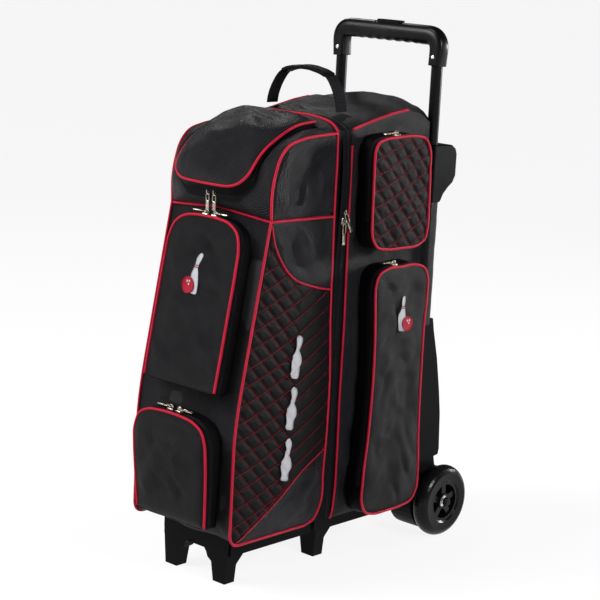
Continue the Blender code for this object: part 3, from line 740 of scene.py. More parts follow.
def contour_lines(lines, which, outline, keep=None):
    """Polylines inside the outline where a family's number is whole."""
    lo, hi = outline.min(0), outline.max(0)
    us = np.arange(lo[0], hi[0] + CONTOUR_STEP, CONTOUR_STEP)
    vs = np.linspace(lo[1], hi[1], 900)
    u, v = np.meshgrid(us, vs, indexing="ij")
    value = lines(u.ravel(), v.ravel())[which].reshape(u.shape)
    found = {}
    for i in range(len(us)):
        column = value[i]
        for k in range(int(np.ceil(column.min())), int(np.floor(column.max())) + 1):
            cross = np.nonzero((column[:-1] - k) * (column[1:] - k) <= 0)[0]
            if len(cross):
                j = cross[0]
                t = (k - column[j]) / (column[j + 1] - column[j] + 1e-12)
                found.setdefault(k, []).append((us[i], vs[j] + t * (vs[j + 1] - vs[j])))
    result = []
    for points in found.values():
        points = np.array(points)
        good = inside(points, outline) & (distance(points, outline) > CONTOUR_INSET)
        if keep is not None:
            good &= keep(points[:, 0], points[:, 1])
        run = []
        for point, ok in zip(points, good):
            if ok:
                run.append(point)
            if (not ok or point is points[-1]) and len(run) > 3:
                result.append(np.array(run))
            if not ok:
                run = []
    return result


def between(path, axis, low, high):
    path = np.asarray(path, float)
    return path[(path[:, axis] >= low) & (path[:, axis] <= high)]


def bent(base, flip=1):
    """place() for a curved base(u, v): h is measured along its normal."""
    step = 0.0005

    def place(u, v, h):
        du = base(u + step, v) - base(u - step, v)
        dv = base(u, v + step) - base(u, v - step)
        return base(u, v) + unit(np.cross(du, dv)) * (flip * np.asarray(h, float))[:, None]
    return place


def lifted(place, by):
    return lambda u, v, h: place(u, v, h + by)


def along(path):
    """base(u, v) of a sheet with u across the bag and v along a path of (y, z) points."""
    p = resample(path, 0.003)
    s = path_length(p)

    def base(u, v):
        return np.stack([u, np.interp(v, s, p[:, 0]), np.interp(v, s, p[:, 1])], 1)
    return base, s[-1], p, s


def mirrored(line, sign):
    return np.asarray(line, float) * (sign, 1, 1)


def mirror_sides(half):
    """A line that ends on the middle plane, with its mirror image after it."""
    return np.vstack([half, mirrored(half[-2::-1], -1)])


def rectangle(half, low, high):
    return [(-half, low), (half, low), (half, high), (-half, high)]


def on_side(line, x=HALF_WIDTH, sign=1):
    """A (y, z) line put on a side of the bag."""
    line = np.asarray(line, float)
    return np.stack([np.full(len(line), sign * x), line[:, 0], line[:, 1]], 1)


def on_level(line, z):
    """An (x, y) line at a height."""
    return np.column_stack([line, np.full(len(line), z)])


def top_line(x):
    """Height of the top across the zip."""
    return 0.7645 - TOP_DROP * (np.abs(x) / HALF_WIDTH) ** 5


# ---------------------------------------------------------------- front half

def front_half():
    zip_side, arc, diagonal, s_line = (smooth(line, 0.006)
                                       for line in (ZIP_PIPING, ARC_PIPING, DIAGONAL, S_LINE))
    path = FRONT_PATH[::-1]
    corner = path[path[:, 0] < -0.17]
    mid = np.array([(-0.030, 0.610), (-0.10, 0.6105), (-0.168, 0.612)])
    quilt = np.vstack([resample(between(corner, 1, 0.0925, 0.609), 0.008), diagonal[2:-1],
                       between(zip_side, 1, 0.2125, 0.486), arc[::-1][1:-1]])
    lower = np.vstack([between(corner, 1, 0.0, 0.0925), [(-0.10, FOOT_Z)], between(zip_side, 1, 0.0, 0.2120),
                       diagonal[::-1][1:-2]])
    middle = np.vstack([arc[:-1], between(zip_side, 1, 0.487, 0.6095), resample(mid, 0.008)])
    upper = np.vstack([resample(mid[::-1], 0.008), s_line[:-1], between(zip_side, 1, 0.611, 0.740)[::-1]])
    gusset = np.vstack([[(-SEAM - 0.0003, FOOT_Z), (-SEAM - 0.0003, 0.7475), (-0.027, GUSSET_TOP)],
                        zip_side[::-1]])
    cushion = pillows(quilt_front, QUILT_DEPTH, lambda u, v: np.clip((-0.085 - u) / 0.05, 0, 1))
    rows = contour_lines(quilt_front, 0, quilt)
    crossing = contour_lines(quilt_front, 1, quilt, lambda u, v: u < -0.105)
    for side, sign in SIDES.items():
        name, place = f"front_{side}", side_place(sign)
        padding = Surface(quilt, place, 0.0045, 0.022, 0.0006, 0.07, 1.0, cushion)
        panel(f"{name}_quilted_panel", padding, QUILT, FRONT, 0.0025)
        seam(f"{name}_quilting", [padding.at(line, 0.0011) for line in rows], RED_THREAD, FRONT)
        for number, base in enumerate(((-0.118, 0.176), (-0.112, 0.262), (-0.106, 0.348))):
            patch(f"{name}_pin_{number + 1}", padding, pin_outline(np.array(base), 0.070, 0.12), EMBROIDERY,
                  FRONT, 0.0020)
        seam(f"{name}_cross_quilting", [padding.at(line, 0.0010) for line in crossing], RED_THREAD, FRONT,
             0.7 * THREAD)
        for part, shape, puff, rim, wrinkle, size, seed, folds in (
                ("lower", lower, 0.0040, 0.02, 0.0022, 0.050, 2, LOWER_FOLDS),
                ("middle", middle, 0.0045, 0.02, 0.0026, 0.055, 3, MIDDLE_FOLDS),
                ("upper", upper, 0.0055, 0.03, 0.0024, 0.055, 4, UPPER_FOLDS)):
            panel(f"{name}_{part}_panel", Surface(shape, place, puff, rim, wrinkle, size, seed, folds=folds),
                  TWILL, FRONT)
        panel(f"{name}_zip_gusset", Surface(gusset, place, 0.0004, 0.004), GUSSET, FRONT)
        piping(f"{name}_arc_piping", [on_side(arc, PIPING_X + 0.0004, sign)], FRONT, 0.0016)
        piping(f"{name}_diagonal_piping", [on_side(diagonal[2:], PIPING_X + 0.0004, sign)], FRONT, 0.0010)
        beside = on_side(diagonal[4:] + (0.002, 0.010), PIPING_X + 0.0022, sign)
        seam(f"{name}_diagonal_stitching", [beside], RED_THREAD, FRONT)
        piping(f"{name}_shoulder_piping", [on_side(s_line, PIPING_X, sign)], FRONT)
    over = smooth(mirror_sides([(PIPING_X, -0.027, 0.733), (0.1115, -0.0255, 0.748), (0.098, -0.0225, 0.7575),
                                (0.070, -0.0205, 0.7640), (0, -0.020, 0.7660)]))
    edge = np.vstack([on_side(resample(path[path[:, 0] < -0.06], 0.005), PIPING_X),
                      on_side(zip_side, PIPING_X)[:-1]])
    piping("front_edge_piping", [np.vstack([edge, over[1:-1], mirrored(edge[::-1], -1)])], FRONT)
    belt = rounded([(PIPING_X, -0.0265, 0.608), (PIPING_X, -0.1745, 0.611), (0, -0.1755, 0.6195)],
                   [0, 0.010, 0], False)
    piping("front_belt_piping", [mirror_sides(resample(belt))], FRONT)

    base, length, p, s = along(path[::-1])
    low = s[np.argmax(p[:, 0] < -0.17)]
    face = ring(rounded(rectangle(HALF_WIDTH, low, length), 0.004), 0.007)
    pockets = []
    for foot, height, radius in ((FRONT_POCKET_FOOT, 0.180, 0.030), (0.329, 0.276, 0.035)):
        start = s[np.argmax(p[:, 1] > foot)]
        pockets.append(rounded(rectangle(0.081, start, start + height), radius))
    panel("front_face", Surface(face, bent(base, -1), 0.0040, 0.018, 0.0014, 0.05, 5, covered=pockets), TWILL,
          FRONT, 0.007, replaces=["front_shell"], fill=0.4)
    seam("front_face_seam", [mirror_sides([(0.110, -0.2325, 0.3205), (0, -0.2325, 0.3195)])[::-1]],
         BLACK_THREAD, FRONT)
    crest = ring(rounded(rectangle(HALF_WIDTH, -0.057, -SEAM), 0.002), 0.006)
    ridge = lambda u, v: np.stack([u, v, top_line(u) - 0.006 * np.clip((-0.02 - v) / 0.045, 0, 1) ** 2], 1)
    panel("front_crest", Surface(crest, bent(ridge), 0.0008, 0.012, 0.0010, 0.05, 6), TWILL, FRONT)


# ---------------------------------------------------------------- top lid

LID_MIDDLE = smooth([(-0.0525, 0.7690), (-0.095, 0.7710), (-0.140, 0.7590), (-0.178, 0.7335),
                     (-0.2035, 0.7000),
                     (-0.2125, 0.6615)], 0.003)
LID_EDGE = smooth([(-0.0500, 0.7610), (-0.090, 0.7570), (-0.134, 0.7395), (-0.170, 0.7170), (-0.193, 0.6900),
                   (-0.2065, 0.6640)], 0.003)
LID_HALF = 0.0835
LID_LENGTH = float(path_length(LID_MIDDLE)[-1])


def lid_base(u, v):
    """The lid's shape: v runs in metres from its hinge to its front edge."""
    share = np.clip(v / LID_LENGTH, -0.02, 1.02)

    def read(path):
        at = np.linspace(0, 1, len(path))
        slope = (path[-1] - path[-2]) * (len(path) - 1)
        over = np.clip(share - 1, 0, None)
        return [np.interp(share, at, path[:, k]) + slope[k] * over for k in (0, 1)]

    my, mz = read(LID_MIDDLE)
    ey, ez = read(LID_EDGE)
    w = np.clip(np.abs(u) / LID_HALF, 0, 1.1) ** 2.6
    return np.stack([u, my * (1 - w) + ey * w, mz * (1 - w) + ez * w], 1)


def top_lid():
    place = bent(lid_base, -1)
    corner = 0.040
    corners = [(LID_HALF, 0), (LID_HALF, LID_LENGTH), (-LID_HALF, LID_LENGTH), (-LID_HALF, 0)]
    shape = ring(rounded(corners, [0.004, corner, corner, 0.004]), 0.005)
    dome = Surface(shape, place, 0.0060, 0.035, 0.0034, 0.060, 7)
    panel("lid_panel", dome, TWILL, "top_lid", replaces=["top_lid"], fill=0.5)
    under = flat(offset(shape, -0.004), lifted(place, -0.0070), 0.0006, 0.05, 8)
    panel("lid_lining", under, LINING, "top_lid", 0.008)
    edge = resample(rounded(corners, [0, corner, corner, 0], closed=False))
    rim = laid(place, edge)
    hinge = np.stack([np.linspace(-LID_HALF, 0.045, 30), np.zeros(30)], 1)
    piping("lid_piping", [np.vstack([rim, laid(place, hinge, 0.0006)[1:]])], "top_lid")
    zip_line, out = lid_zip(edge, place)
    down = unit(rim - zip_line)
    skirt = [rim * (1 - k) + (zip_line + down * 0.0012) * k for k in np.linspace(0, 1, 6)]
    loft("lid_skirt", skirt, GUSSET, "top_lid", wrinkle=0.0005)
    zip_half("lid_zip_upper", zip_line, out, down, "top_lid", 0.007, 0.0004)
    return edge, zip_line, out


def lid_zip(edge, place):
    """The line that the lid's zip follows under its edge, and the way out from it."""
    outward = unit(np.stack([-np.gradient(edge[:, 1]), np.gradient(edge[:, 0])], 1))
    if outward[0, 0] < 0:
        outward = -outward
    p = laid(place, edge)
    down = unit(p - laid(place, edge, 0.001))
    out = unit(laid(place, edge + outward * 0.0005) - p)
    front = np.clip(edge[:, 1] / LID_LENGTH * 2.2 - 1.2, 0, 1)[:, None] * np.abs(outward[:, 1:2]) ** 0.5
    line = p + down * (0.0115 + 0.0085 * front) + out * (0.0035 + 0.0095 * front)
    return line, unit(out * (1 - front) - down * front * 0.9 + out * 0.2)


def collar(edge, zip_line, out):
    """The soft wall round the top compartment, from the lid's zip to the corner piping and the belt."""
    half = len(zip_line) // 2 + 1
    right = zip_line[:half]
    s_line = smooth(S_LINE[::-1], 0.004)
    s_line = s_line[s_line[:, 0] < -0.052]
    side = on_side(s_line)
    front = np.array([(HALF_WIDTH, -0.1735, 0.613), (0.100, -0.1745, 0.6150), (0.050, -0.1750, 0.6180),
                      (0, -0.1755, 0.6195)])
    start = int(np.argmax(edge[:, 1] > LID_LENGTH - 0.040))
    stop = int(np.argmax(edge[:, 0] < LID_HALF - 0.040))
    cut = int(np.argmax(s_line[:, 0] < -0.166))
    outer = np.vstack([resample(side[:cut + 1], count=start + 1)[:-1],
                       resample(np.vstack([side[cut:], front[:2]]), count=stop - start + 1)[:-1],
                       resample(front[1:], count=half - stop)])
    lean = unit(np.cross(np.gradient(outer, axis=0), right - outer))
    lean *= np.sign((lean * ((outer + right) / 2 - (0, -0.06, 0.64))).sum(1))[:, None]
    rows = np.array([outer * (1 - k) + right * k + lean * 0.0055 * math.sin(math.pi * k) ** 0.8
                     for k in np.linspace(0, 1, 12)])
    whole = np.concatenate([rows, mirrored(rows[:, -2::-1], -1)], 1)
    loft("compartment_wall", whole, TWILL, FRONT, flip=True, wrinkle=0.0030, size=0.030, seed=9)
    line = mirror_sides(right)
    zip_half("lid_zip_lower", line, mirror_sides(out[:half]), unit(whole[-4] - whole[-1]), FRONT, 0.009,
             0.0008)
    inward = unit(np.array((0, -0.12, 0.60)) - line)
    loft("compartment_facing", [line + inward * k for k in (0.0, 0.002, 0.006, 0.012)], LINING, FRONT)


# ---------------------------------------------------------------- rear half

REAR_TOP = np.array([(0.003, 0.7645, 0.0185), (0.060, 0.7720, 0.0120), (0.110, 0.7790, 0.0090),
                     (0.147, 0.7840, 0.0095),
                     (0.180, 0.7875, 0.0180), (0.2055, 0.7890, 0.0350), (0.235, 0.7890, 0.0350)])
REAR_PATH = smooth([(0.003, 0.7645), (0.060, 0.7720), (0.147, 0.7840), (0.190, 0.7885), (0.212, 0.7875),
                    (0.2265, 0.7740),
                    (0.2315, 0.7500), (0.2330, 0.7000), (0.2335, 0.400), (0.2330, 0.138), (0.2200, 0.108),
                    (0.197, 0.0845)],
                   0.003)


def shoulder_drop(x, y):
    """How far the rear half's top falls away towards its sides."""
    power = np.interp(y, (0.10, 0.18), (5, 3.4))
    return np.interp(y, REAR_TOP[:, 0], REAR_TOP[:, 2]) * (np.abs(x) / HALF_WIDTH) ** power


def rear_top(x, y):
    return np.interp(y, REAR_TOP[:, 0], REAR_TOP[:, 1]) - shoulder_drop(x, y)


def rear_half():
    base, length, p, s = along(REAR_PATH)

    def cover(u, v):
        points = base(u, v)
        points[:, 2] -= shoulder_drop(u, points[:, 1]) * np.clip((points[:, 2] - 0.68) / 0.07, 0, 1)
        return points

    turn = s[np.argmax(p[:, 0] > BACK_CORNER_Y)]
    narrow = 0.0935
    half = [(HALF_WIDTH, 0), (HALF_WIDTH, turn), (narrow, turn), (narrow, length)]
    shape = ring(np.array(half + [(-x, v) for x, v in half[::-1]]), 0.006)
    top = Surface(shape, bent(cover), 0.0012, 0.02, 0.0030, 0.075, 11)
    panel("rear_cover", top, TWILL, REAR, 0.0065, replaces=["rear_shell"], fill=0.4)
    zip_side = smooth(REAR_PIPING, 0.006)
    edge_y = np.concatenate([np.linspace(0.006, 0.2055, 36), [BACK_CORNER_Y]])
    top_edge = np.stack([edge_y, np.interp(edge_y, REAR_TOP[:, 0], REAR_TOP[:, 1] - REAR_TOP[:, 2])], 1)
    back_edge = np.array([(BACK_CORNER_Y, 0.740), (BACK_CORNER_Y, 0.104), (0.196, FOOT_Z)])
    side_shape = np.vstack([zip_side, top_edge, resample(back_edge, 0.008), [(0.10, FOOT_Z)]])
    gusset = np.vstack([zip_side[::-1], [(SEAM + 0.0003, FOOT_Z), (SEAM + 0.0003, GUSSET_TOP)]])
    ridge = resample(top_edge[(edge_y > 0.008) & (edge_y < 0.150)])
    pockets = [pocket_outline(UPPER_POCKET), pocket_outline(LOWER_POCKET)]
    recess = ((HALF_WIDTH, 0.2102), (0.104, 0.2104), (0.0935, 0.2106), (0.0933, 0.222), (0.0930, 0.2325))
    for side, sign in SIDES.items():
        name, place = f"rear_{side}", side_place(sign)
        panel(f"{name}_panel", Surface(side_shape, place, 0.0026, 0.02, 0.0030, 0.05, 12, covered=pockets),
              TWILL, REAR, 0.0065)
        panel(f"{name}_zip_gusset", Surface(gusset, place, 0.0003, 0.004), GUSSET, REAR)
        piping(f"{name}_piping", [on_side(zip_side[:-2], PIPING_X + 0.0010, sign)], REAR, PIPING * 0.9)
        piping(f"{name}_top_piping", [on_side(ridge, PIPING_X - 0.0004, sign) + (0, 0, 0.0008)], REAR)
        notch = [[(sign * x, y, z) for x, y in recess] for z in np.linspace(0.100, 0.752, 30)]
        loft(f"{name}_tube_recess", notch, GUSSET, REAR, flip=sign > 0, slot="black_twill")
    seam("rear_back_seams", [np.linspace((x, 0.2362, 0.42), (x, 0.2362, 0.60), 40) for x in (-0.062, 0.062)],
         BLACK_THREAD, REAR)


def tube_sleeves():
    """Fabric tunnels that hold the tow tubes in the corners of the back."""
    low, high = (corner.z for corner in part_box("right_tube_sleeve"))
    path = rounded([(0.1135, 0.2060), (0.1245, 0.2120), (0.1262, 0.2300), (0.1180, 0.2400), (0.1020, 0.2400),
                    (0.0900, 0.2335)], [0, 0.006, 0.008, 0.006, 0.006, 0], closed=False)
    path = resample(path, 0.003)
    normal = normals_2d(path, closed=False)
    for side, sign in SIDES.items():
        rows = [on_level(path - normal * 0.0007 * noise.noise(Vector((sign * 3.0, z * 22, 1.0))), z)
                * (sign, 1, 1)
                for z in np.linspace(low - 0.010, high + 0.010, 46)]
        loft(f"{side}_tube_tunnel", rows, TWILL, REAR, flip=sign < 0, wrinkle=0.0008, size=0.02,
             replaces=[f"{side}_tube_sleeve"], fill=0.3)


# ---------------------------------------------------------------- main zip and the fabric hinge

def main_zip():
    x = HALF_WIDTH + 0.0002
    xs = np.linspace(0.108, -0.100, 60)
    line = smooth(np.vstack([[(x, 0.0865), (x, 0.30), (x, 0.52), (x, 0.736), (0.1120, 0.7465)],
                             np.stack([xs, top_line(xs)], 1)]), 0.003)
    t = unit(np.gradient(line, axis=0))
    out = np.stack([t[:, 1], np.zeros(len(t)), -t[:, 0]], 1)
    p = np.stack([line[:, 0], np.full(len(line), -0.005), line[:, 1]], 1)
    zip_half("main_zip_front", p, out, np.array((0.0, -1.0, 0.0)), FRONT, 0.0105)
    zip_half("main_zip_rear", p, out, np.array((0.0, 1.0, 0.0)), REAR, 0.0100)
    rows = [[(-HALF_WIDTH - 0.0006 - 0.0022 * math.cos(math.pi * (y + 0.004) / 0.034), y, z)
             for y in np.linspace(-0.021, 0.013, 14)] for z in np.linspace(0.086, 0.742, 70)]
    strip = loft("hinge_strip", rows, GUSSET, None, flip=True, wrinkle=0.0010, size=0.03)
    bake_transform(strip)


LINING_HALF = 0.1092
LINING_FLOOR = 0.0938


def lining_room(name, body, outline, seed):
    """The inside walls of a compartment: a band along its (y, z) outline and a panel at each side."""
    outline = np.array(outline)
    rows = [[(x, y, z) for x in np.linspace(-LINING_HALF, LINING_HALF, 16)]
            for y, z in resample(outline, 0.012)]
    loft(name + "_lining", rows, LINING, body, wrinkle=0.0012, size=0.05, seed=seed)
    for side, sign in SIDES.items():
        wall = flat(ring(outline, 0.012), side_place(sign, LINING_HALF), 0.0010, 0.05, seed + 1)
        panel(f"{name}_{side}_lining", wall, LINING, body, 0.014)


def insides():
    lining_room("front_balls", FRONT,
                [(-0.004, LINING_FLOOR), (-0.2222, LINING_FLOOR), (-0.2300, 0.118), (-0.2300, 0.250),
                                       (-0.2232, 0.319), (-0.1848, 0.5483), (-0.004, 0.5483)], 21)
    lining_room("front_top", FRONT,
                [(-0.0105, 0.744), (-0.0105, 0.5577), (-0.1780, 0.5577), (-0.1685, 0.615)], 22)
    lining_room("rear_balls", REAR,
                [(0.004, 0.7475), (0.2063, 0.7475), (0.2063, LINING_FLOOR), (0.004, LINING_FLOOR)], 23)
    for name, body, y, top in (("front", FRONT, -0.0042, 0.5505), ("rear", REAR, 0.0042, 0.752)):
        loop = ring(rounded(rectangle(0.1112, 0.0880, top), 0.010), 0.006)
        tubes(f"{name}_binding", [np.insert(loop, 1, y, axis=1)], 0.0024, STRAP, body, closed=True)
    facing = ring(rounded(rectangle(0.1130, 0.551, 0.752), 0.006), 0.012)

    def wall(u, v, h):
        drop = np.where(v > 0.74, TOP_DROP * (np.abs(u) / HALF_WIDTH) ** 5, 0)
        return np.stack([u, h - 0.0040, v - drop], 1)

    panel("front_top_facing", flat(facing, wall), LINING, FRONT, 0.012)
    for node, body in (("rear_lower_shelf", REAR), ("rear_upper_shelf", REAR), ("front_shelf", FRONT)):
        soft_copy(node, body, 0.0015, LINING)
    for node, body in (("rear_lower_cup", REAR), ("rear_upper_cup", REAR), ("front_lower_cup", FRONT),
                       ("front_upper_cup", FRONT)):
        soft_copy(node, body, 0.0012, FOAM)


def soft_copy(node, body, radius, look):
    """A softened copy of a padded CAD solid, with rounded edges."""
    mesh = NODES[node].data.copy()
    obj = finish_piece(new_object(node + "_padding", mesh), look, body, "foam", [node], 0.6)
    mesh.polygons.foreach_set("use_smooth", [True] * len(mesh.polygons))
    write_uv(mesh, [(v.co.x, v.co.y + v.co.z) for v in mesh.vertices])
    add_bevel(obj, radius, 40)


# ---------------------------------------------------------------- pockets

def pouch(name, tray_body, outline, place, depth, top, puff, look, flare, front_flare=0.0, quilting=None,
          piped=None,
          zipped=None, rim=0.03, seed=0.0, wrinkle=0.0014):
    """A pocket: hollow tray, zip round its rim, and a padded flap edged with piping."""
    flap_body, border = name + "_flap", offset(outline, 0.0006)
    foot = offset(outline, flare)
    foot[:, 0] += front_flare * np.clip((outline - foot)[:, 0] / flare, 0, 1)
    close = lambda q: np.vstack([q, q[:1]])
    shares = np.linspace(0, 1, 9)
    inner = close(offset(outline, -0.0026))
    rows = [laid(place, close(foot * (1 - k ** 0.8) + offset(outline, 0.0004) * k ** 0.8), depth * k)
            for k in shares]
    rows = np.array(rows + [laid(place, inner, depth), laid(place, inner, POCKET_FLOOR)])
    turned = (np.cross(rows[0, 1] - rows[0, 0], rows[1, 0] - rows[0, 0]) @ (rows[0, 0] - rows[0].mean(0))) < 0
    verts, faces, uv = loft_mesh(rows)
    wall = rows[:9].reshape(-1, 3)
    bulge = unit(rows[:9] - rows[:9].mean(1, keepdims=True)).reshape(-1, 3)
    fade = np.repeat(np.sin(math.pi * shares), rows.shape[1])
    verts[:len(wall)] += bulge * (fade * (0.0010 + 0.0016 * ripple(wall, 0.03, seed)))[:, None]
    new_piece(name + "_tray", (verts, turned_over(faces) if turned else faces, uv), GUSSET, tray_body,
              replaces=[name + "_pocket"], fill=0.3)
    floor = flat(offset(outline, -0.0024), lifted(place, POCKET_FLOOR), 0.0004)
    panel(name + "_floor", floor, LINING, tray_body, 0.010)

    height, underside = depth + top, depth + 0.0016
    side = [laid(place, close(border), h) for h in np.linspace(underside, height, 5)]
    loft(name + "_flap_side", side, GUSSET, flap_body, flip=turned)
    face = Surface(outline, lifted(place, height), puff, rim, wrinkle, 0.05, seed,
                   quilting and pillows(quilting, POCKET_QUILT_DEPTH))
    panel(name + "_face", face, look, flap_body, 0.0026 if quilting
          else 0.005, replaces=[name + "_flap"], fill=0.6)
    back = flat(offset(outline, -0.0005), lambda u, v, h: place(u, v, underside - h))
    panel(name + "_flap_lining", back, LINING, flap_body, 0.012)
    if quilting:
        for which, part, radius in ((0, "_quilting", THREAD), (1, "_cross_quilting", 0.7 * THREAD)):
            lines = [face.at(line, 0.0011) for line in contour_lines(quilting, which, outline)]
            seam(name + part, lines, RED_THREAD, flap_body, radius)
    edge = border if piped is None else border[piped]
    piping(name + "_piping", [laid(place, edge, height + 0.0004)], flap_body, closed=piped is None)
    h = depth + 0.0004
    line = laid(place, border[zipped], h)
    way = unit(laid(place, offset(outline, 0.0016)[zipped], h) - line)
    up = unit(laid(place, border[zipped], h + 0.001) - line)
    zip_half(name + "_zip_tray", line, way, -up, tray_body, 0.0085, 0.0005)
    zip_half(name + "_zip_flap", line, way, up, flap_body, 0.0050, 0.0005)
    return face, line, way


def pocket_outline(points):
    """A closed outline through points given in millimetres."""
    return smooth(np.array(points) / 1000, 0.005, closed=True)[:-1]


UPPER_POCKET = [(25, 700), (27, 719), (35, 730), (48, 734), (79, 736), (130, 735.5), (153, 730), (165, 714),
                (169, 675),
                (172, 610), (172, 580), (167, 560), (152, 552), (107, 549.5), (67, 551), (45, 556), (32, 571),
                (27, 600)]
LOWER_POCKET = [(47, 470), (47, 490), (54, 507), (72, 515), (110, 516), (150, 515.5), (171, 508), (181, 492),
                (183, 460),
                (180, 410), (180, 360), (184, 209), (189, 140), (187, 110), (175, 94), (150, 88.5), (110, 87),
                (75, 88),
                (54, 95), (44, 112), (43, 151), (50, 231), (54, 330), (52, 410)]


LONG_POCKET = [(81, 3), (81.5, 60), (81.5, 130), (81, 205), (79, 237), (70, 259), (52, 271), (28, 275.5),
               (0, 276.5)]
LOW_POCKET = [(79, 3), (81, 32), (83, 72), (84, 112), (81.5, 145), (72, 165), (52, 175.5), (27, 179),
              (0, 180)]


def part_of(outline, test):
    """The run of indices of a closed outline whose points pass the test, in order."""
    good = np.array([test(u, v) for u, v in outline])
    n = len(outline)
    start = next(i for i in range(n) if good[i] and not good[i - 1])
    run = []
    while good[start % n] and len(run) < n:
        run.append(start % n)
        start += 1
    return np.array(run)


def side_pockets():
    for side, sign in SIDES.items():
        for tier, points, quilting, look, zip_end, slider_y, wrinkle in (
                ("upper", UPPER_POCKET, quilt_pocket, QUILT, 0.600, 0.088, 0.0012),
                ("lower", LOWER_POCKET, None, SATIN_TWILL, 0.14, 0.097, 0.0026)):
            name, outline = f"{side}_{tier}", pocket_outline(points)
            zipped = part_of(outline, lambda u, v: v > zip_end)
            face, line, way = pouch(name, REAR, outline, side_place(sign), 0.0300, 0.0085, 0.0035, look,
                                    0.004, 0.006,
                                        quilting, None, zipped, 0.03, 31 + sign, wrinkle)
            if tier == "lower":
                pin_and_ball(f"{name}_emblem", face, (0.118, 0.405), 0.060, f"{name}_flap", -1)
            at = int(np.argmin(np.abs(line[:, 1] - slider_y) - 1e3 * (line[:, 2] > zip_end + 0.1)))
            hardware(f"{name}_zip", line[at], way[at], REAR, 0.030, (0, -1, 0))


def front_pocket(name, half, foot_half, foot_v, place, depth, top, puff, rim, seed):
    """A pocket of the front face: piping and zip run up one side, over the top and down the other."""
    upper = resample(smooth(np.array(mirror_half(half)) / 1000), 0.005)
    bottom = resample(np.array([upper[-1], (-foot_half, foot_v), (foot_half, foot_v), upper[0]]), 0.008)[1:-1]
    run = np.arange(len(upper))
    face, line, way = pouch(name, FRONT, np.vstack([upper, bottom]), place, depth, top, puff, SATIN_TWILL,
                            0.003,
                                    0, None, run, run, rim, seed, 0.0034)
    at = len(line) // 2
    for side, sign in SIDES.items():
        hardware(f"{name}_zip_{side}", line[at - 2 * sign], way[at], FRONT, 0.030, (sign, 0, 0))
    return face


def front_pockets():
    tilt = math.atan2(0.228 - 0.172, 0.620 - 0.320)
    up = np.array((0, math.sin(tilt), math.cos(tilt)))
    out = np.array((0, -math.cos(tilt), math.sin(tilt)))
    foot = np.array((0, -0.2264, 0.329))
    slope = lambda u, v, h: foot + np.outer(u, (1, 0, 0)) + np.outer(v, up) + np.outer(h, out)

    def bulging(u, v, h):
        return np.stack([u, -0.235 - h * (0.80 + 0.30 * np.clip(v / 0.13, 0, 1)), FRONT_POCKET_FOOT + v], 1)

    face = front_pocket("front_long", LONG_POCKET, 0.079, 0.0005, slope, 0.0180, 0.0085, 0.0040, 0.035, 41)
    pin_and_ball("front_emblem", face, (0.0, 0.150), 0.066, "front_long_flap")
    front_pocket("front_lower", LOW_POCKET, 0.076, 0.0004, bulging, 0.0200, 0.0105, 0.0075, 0.045, 43)


# ---------------------------------------------------------------- zip hardware

def rounded_block(low, high, radius, taper=0.85):
    """A block with rounded plan and a narrower top, in local coordinates."""
    (x0, y0, z0), (x1, y1, z1) = low, high
    plan = rounded([(x0, y0), (x1, y0), (x1, y1), (x0, y1)], radius)
    plan = np.vstack([plan, plan[:1]])
    centre = np.array(((x0 + x1) / 2, (y0 + y1) / 2))
    return loft_mesh([on_level(centre + (plan - centre) * share, z0 + up * (z1 - z0)) for share, up in
                      ((0.0, 0), (taper + 0.1, 0), (1.0, 0.2), (1.0, 0.75), (taper, 1), (0.0, 1))])


def slider_mesh():
    body = rounded_block((-0.0046, -0.0062, 0.0003), (0.0046, 0.0062, 0.0046), 0.0024)
    arch = smooth([(0, -0.0040, 0.0040), (0, -0.0038, 0.0082), (0, 0, 0.0096), (0, 0.0038, 0.0082),
                   (0, 0.0040, 0.0040)], 0.0006)
    return join_meshes([body, tube_mesh(arch, 0.0009, 8)])


def pull_mesh(length):
    eye = [(0.0026 * math.cos(a), -0.0012 + 0.0030 * math.sin(a), 0.0068)
           for a in np.linspace(0, 2 * math.pi, 20)[:-1]]
    top, end = -0.0052, -length
    loop = rounded([(-0.0034, top), (0.0034, top), (0.0034, end * 0.52), (-0.0034, end * 0.52)], 0.0022)
    loop = np.column_stack([loop, np.full(len(loop), 0.0068)])
    plate = rounded_block((-0.0036, end, 0.0060), (0.0036, end * 0.50, 0.0076), 0.0018, 0.9)
    ridges = [tube_mesh(np.array([(-0.0026, y, 0.0077), (0.0026, y, 0.0077)]), 0.00035, 6)
              for y in np.linspace(end * 0.58, end * 0.90, 6)]
    return join_meshes([tube_mesh(np.array(eye), 0.0008, 8, True), tube_mesh(loop, 0.0008, 8, True), plate]
                       + ridges)


def local_frame(position, out, along_axis):
    """Columns for local X, Y along the zip and Z out of it."""
    z = unit(np.asarray(out, float))
    y = np.asarray(along_axis, float)
    y = unit(y - z * (y @ z))
    return lambda verts: np.asarray(position) + verts @ np.array((np.cross(y, z), y, z))


def hardware(name, position, out, body, length, along_axis=(0, 0, -1), swing=0.0, own=False):
    """A slider and its pull. The pull lies along along_axis, turned by swing about the way out.

    With own, both stand in for their CAD nodes and ride on their own bodies.
    """
    to = local_frame(position, out, -np.asarray(along_axis, float))
    c, s = math.cos(swing), math.sin(swing)
    turn = np.array(((c, s, 0), (-s, c, 0), (0, 0, 1)))
    for part, (verts, faces, uv), more in (("slider_body", slider_mesh(), "_slider"),
                                           ("pull_tag", pull_mesh(length), "_pull")):
        verts = verts @ turn if part == "pull_tag" else verts
        new_piece(f"{name}_{part}", (to(verts), faces, uv), NICKEL, name + more if own else body,
                  replaces=[name + more] if own else ())


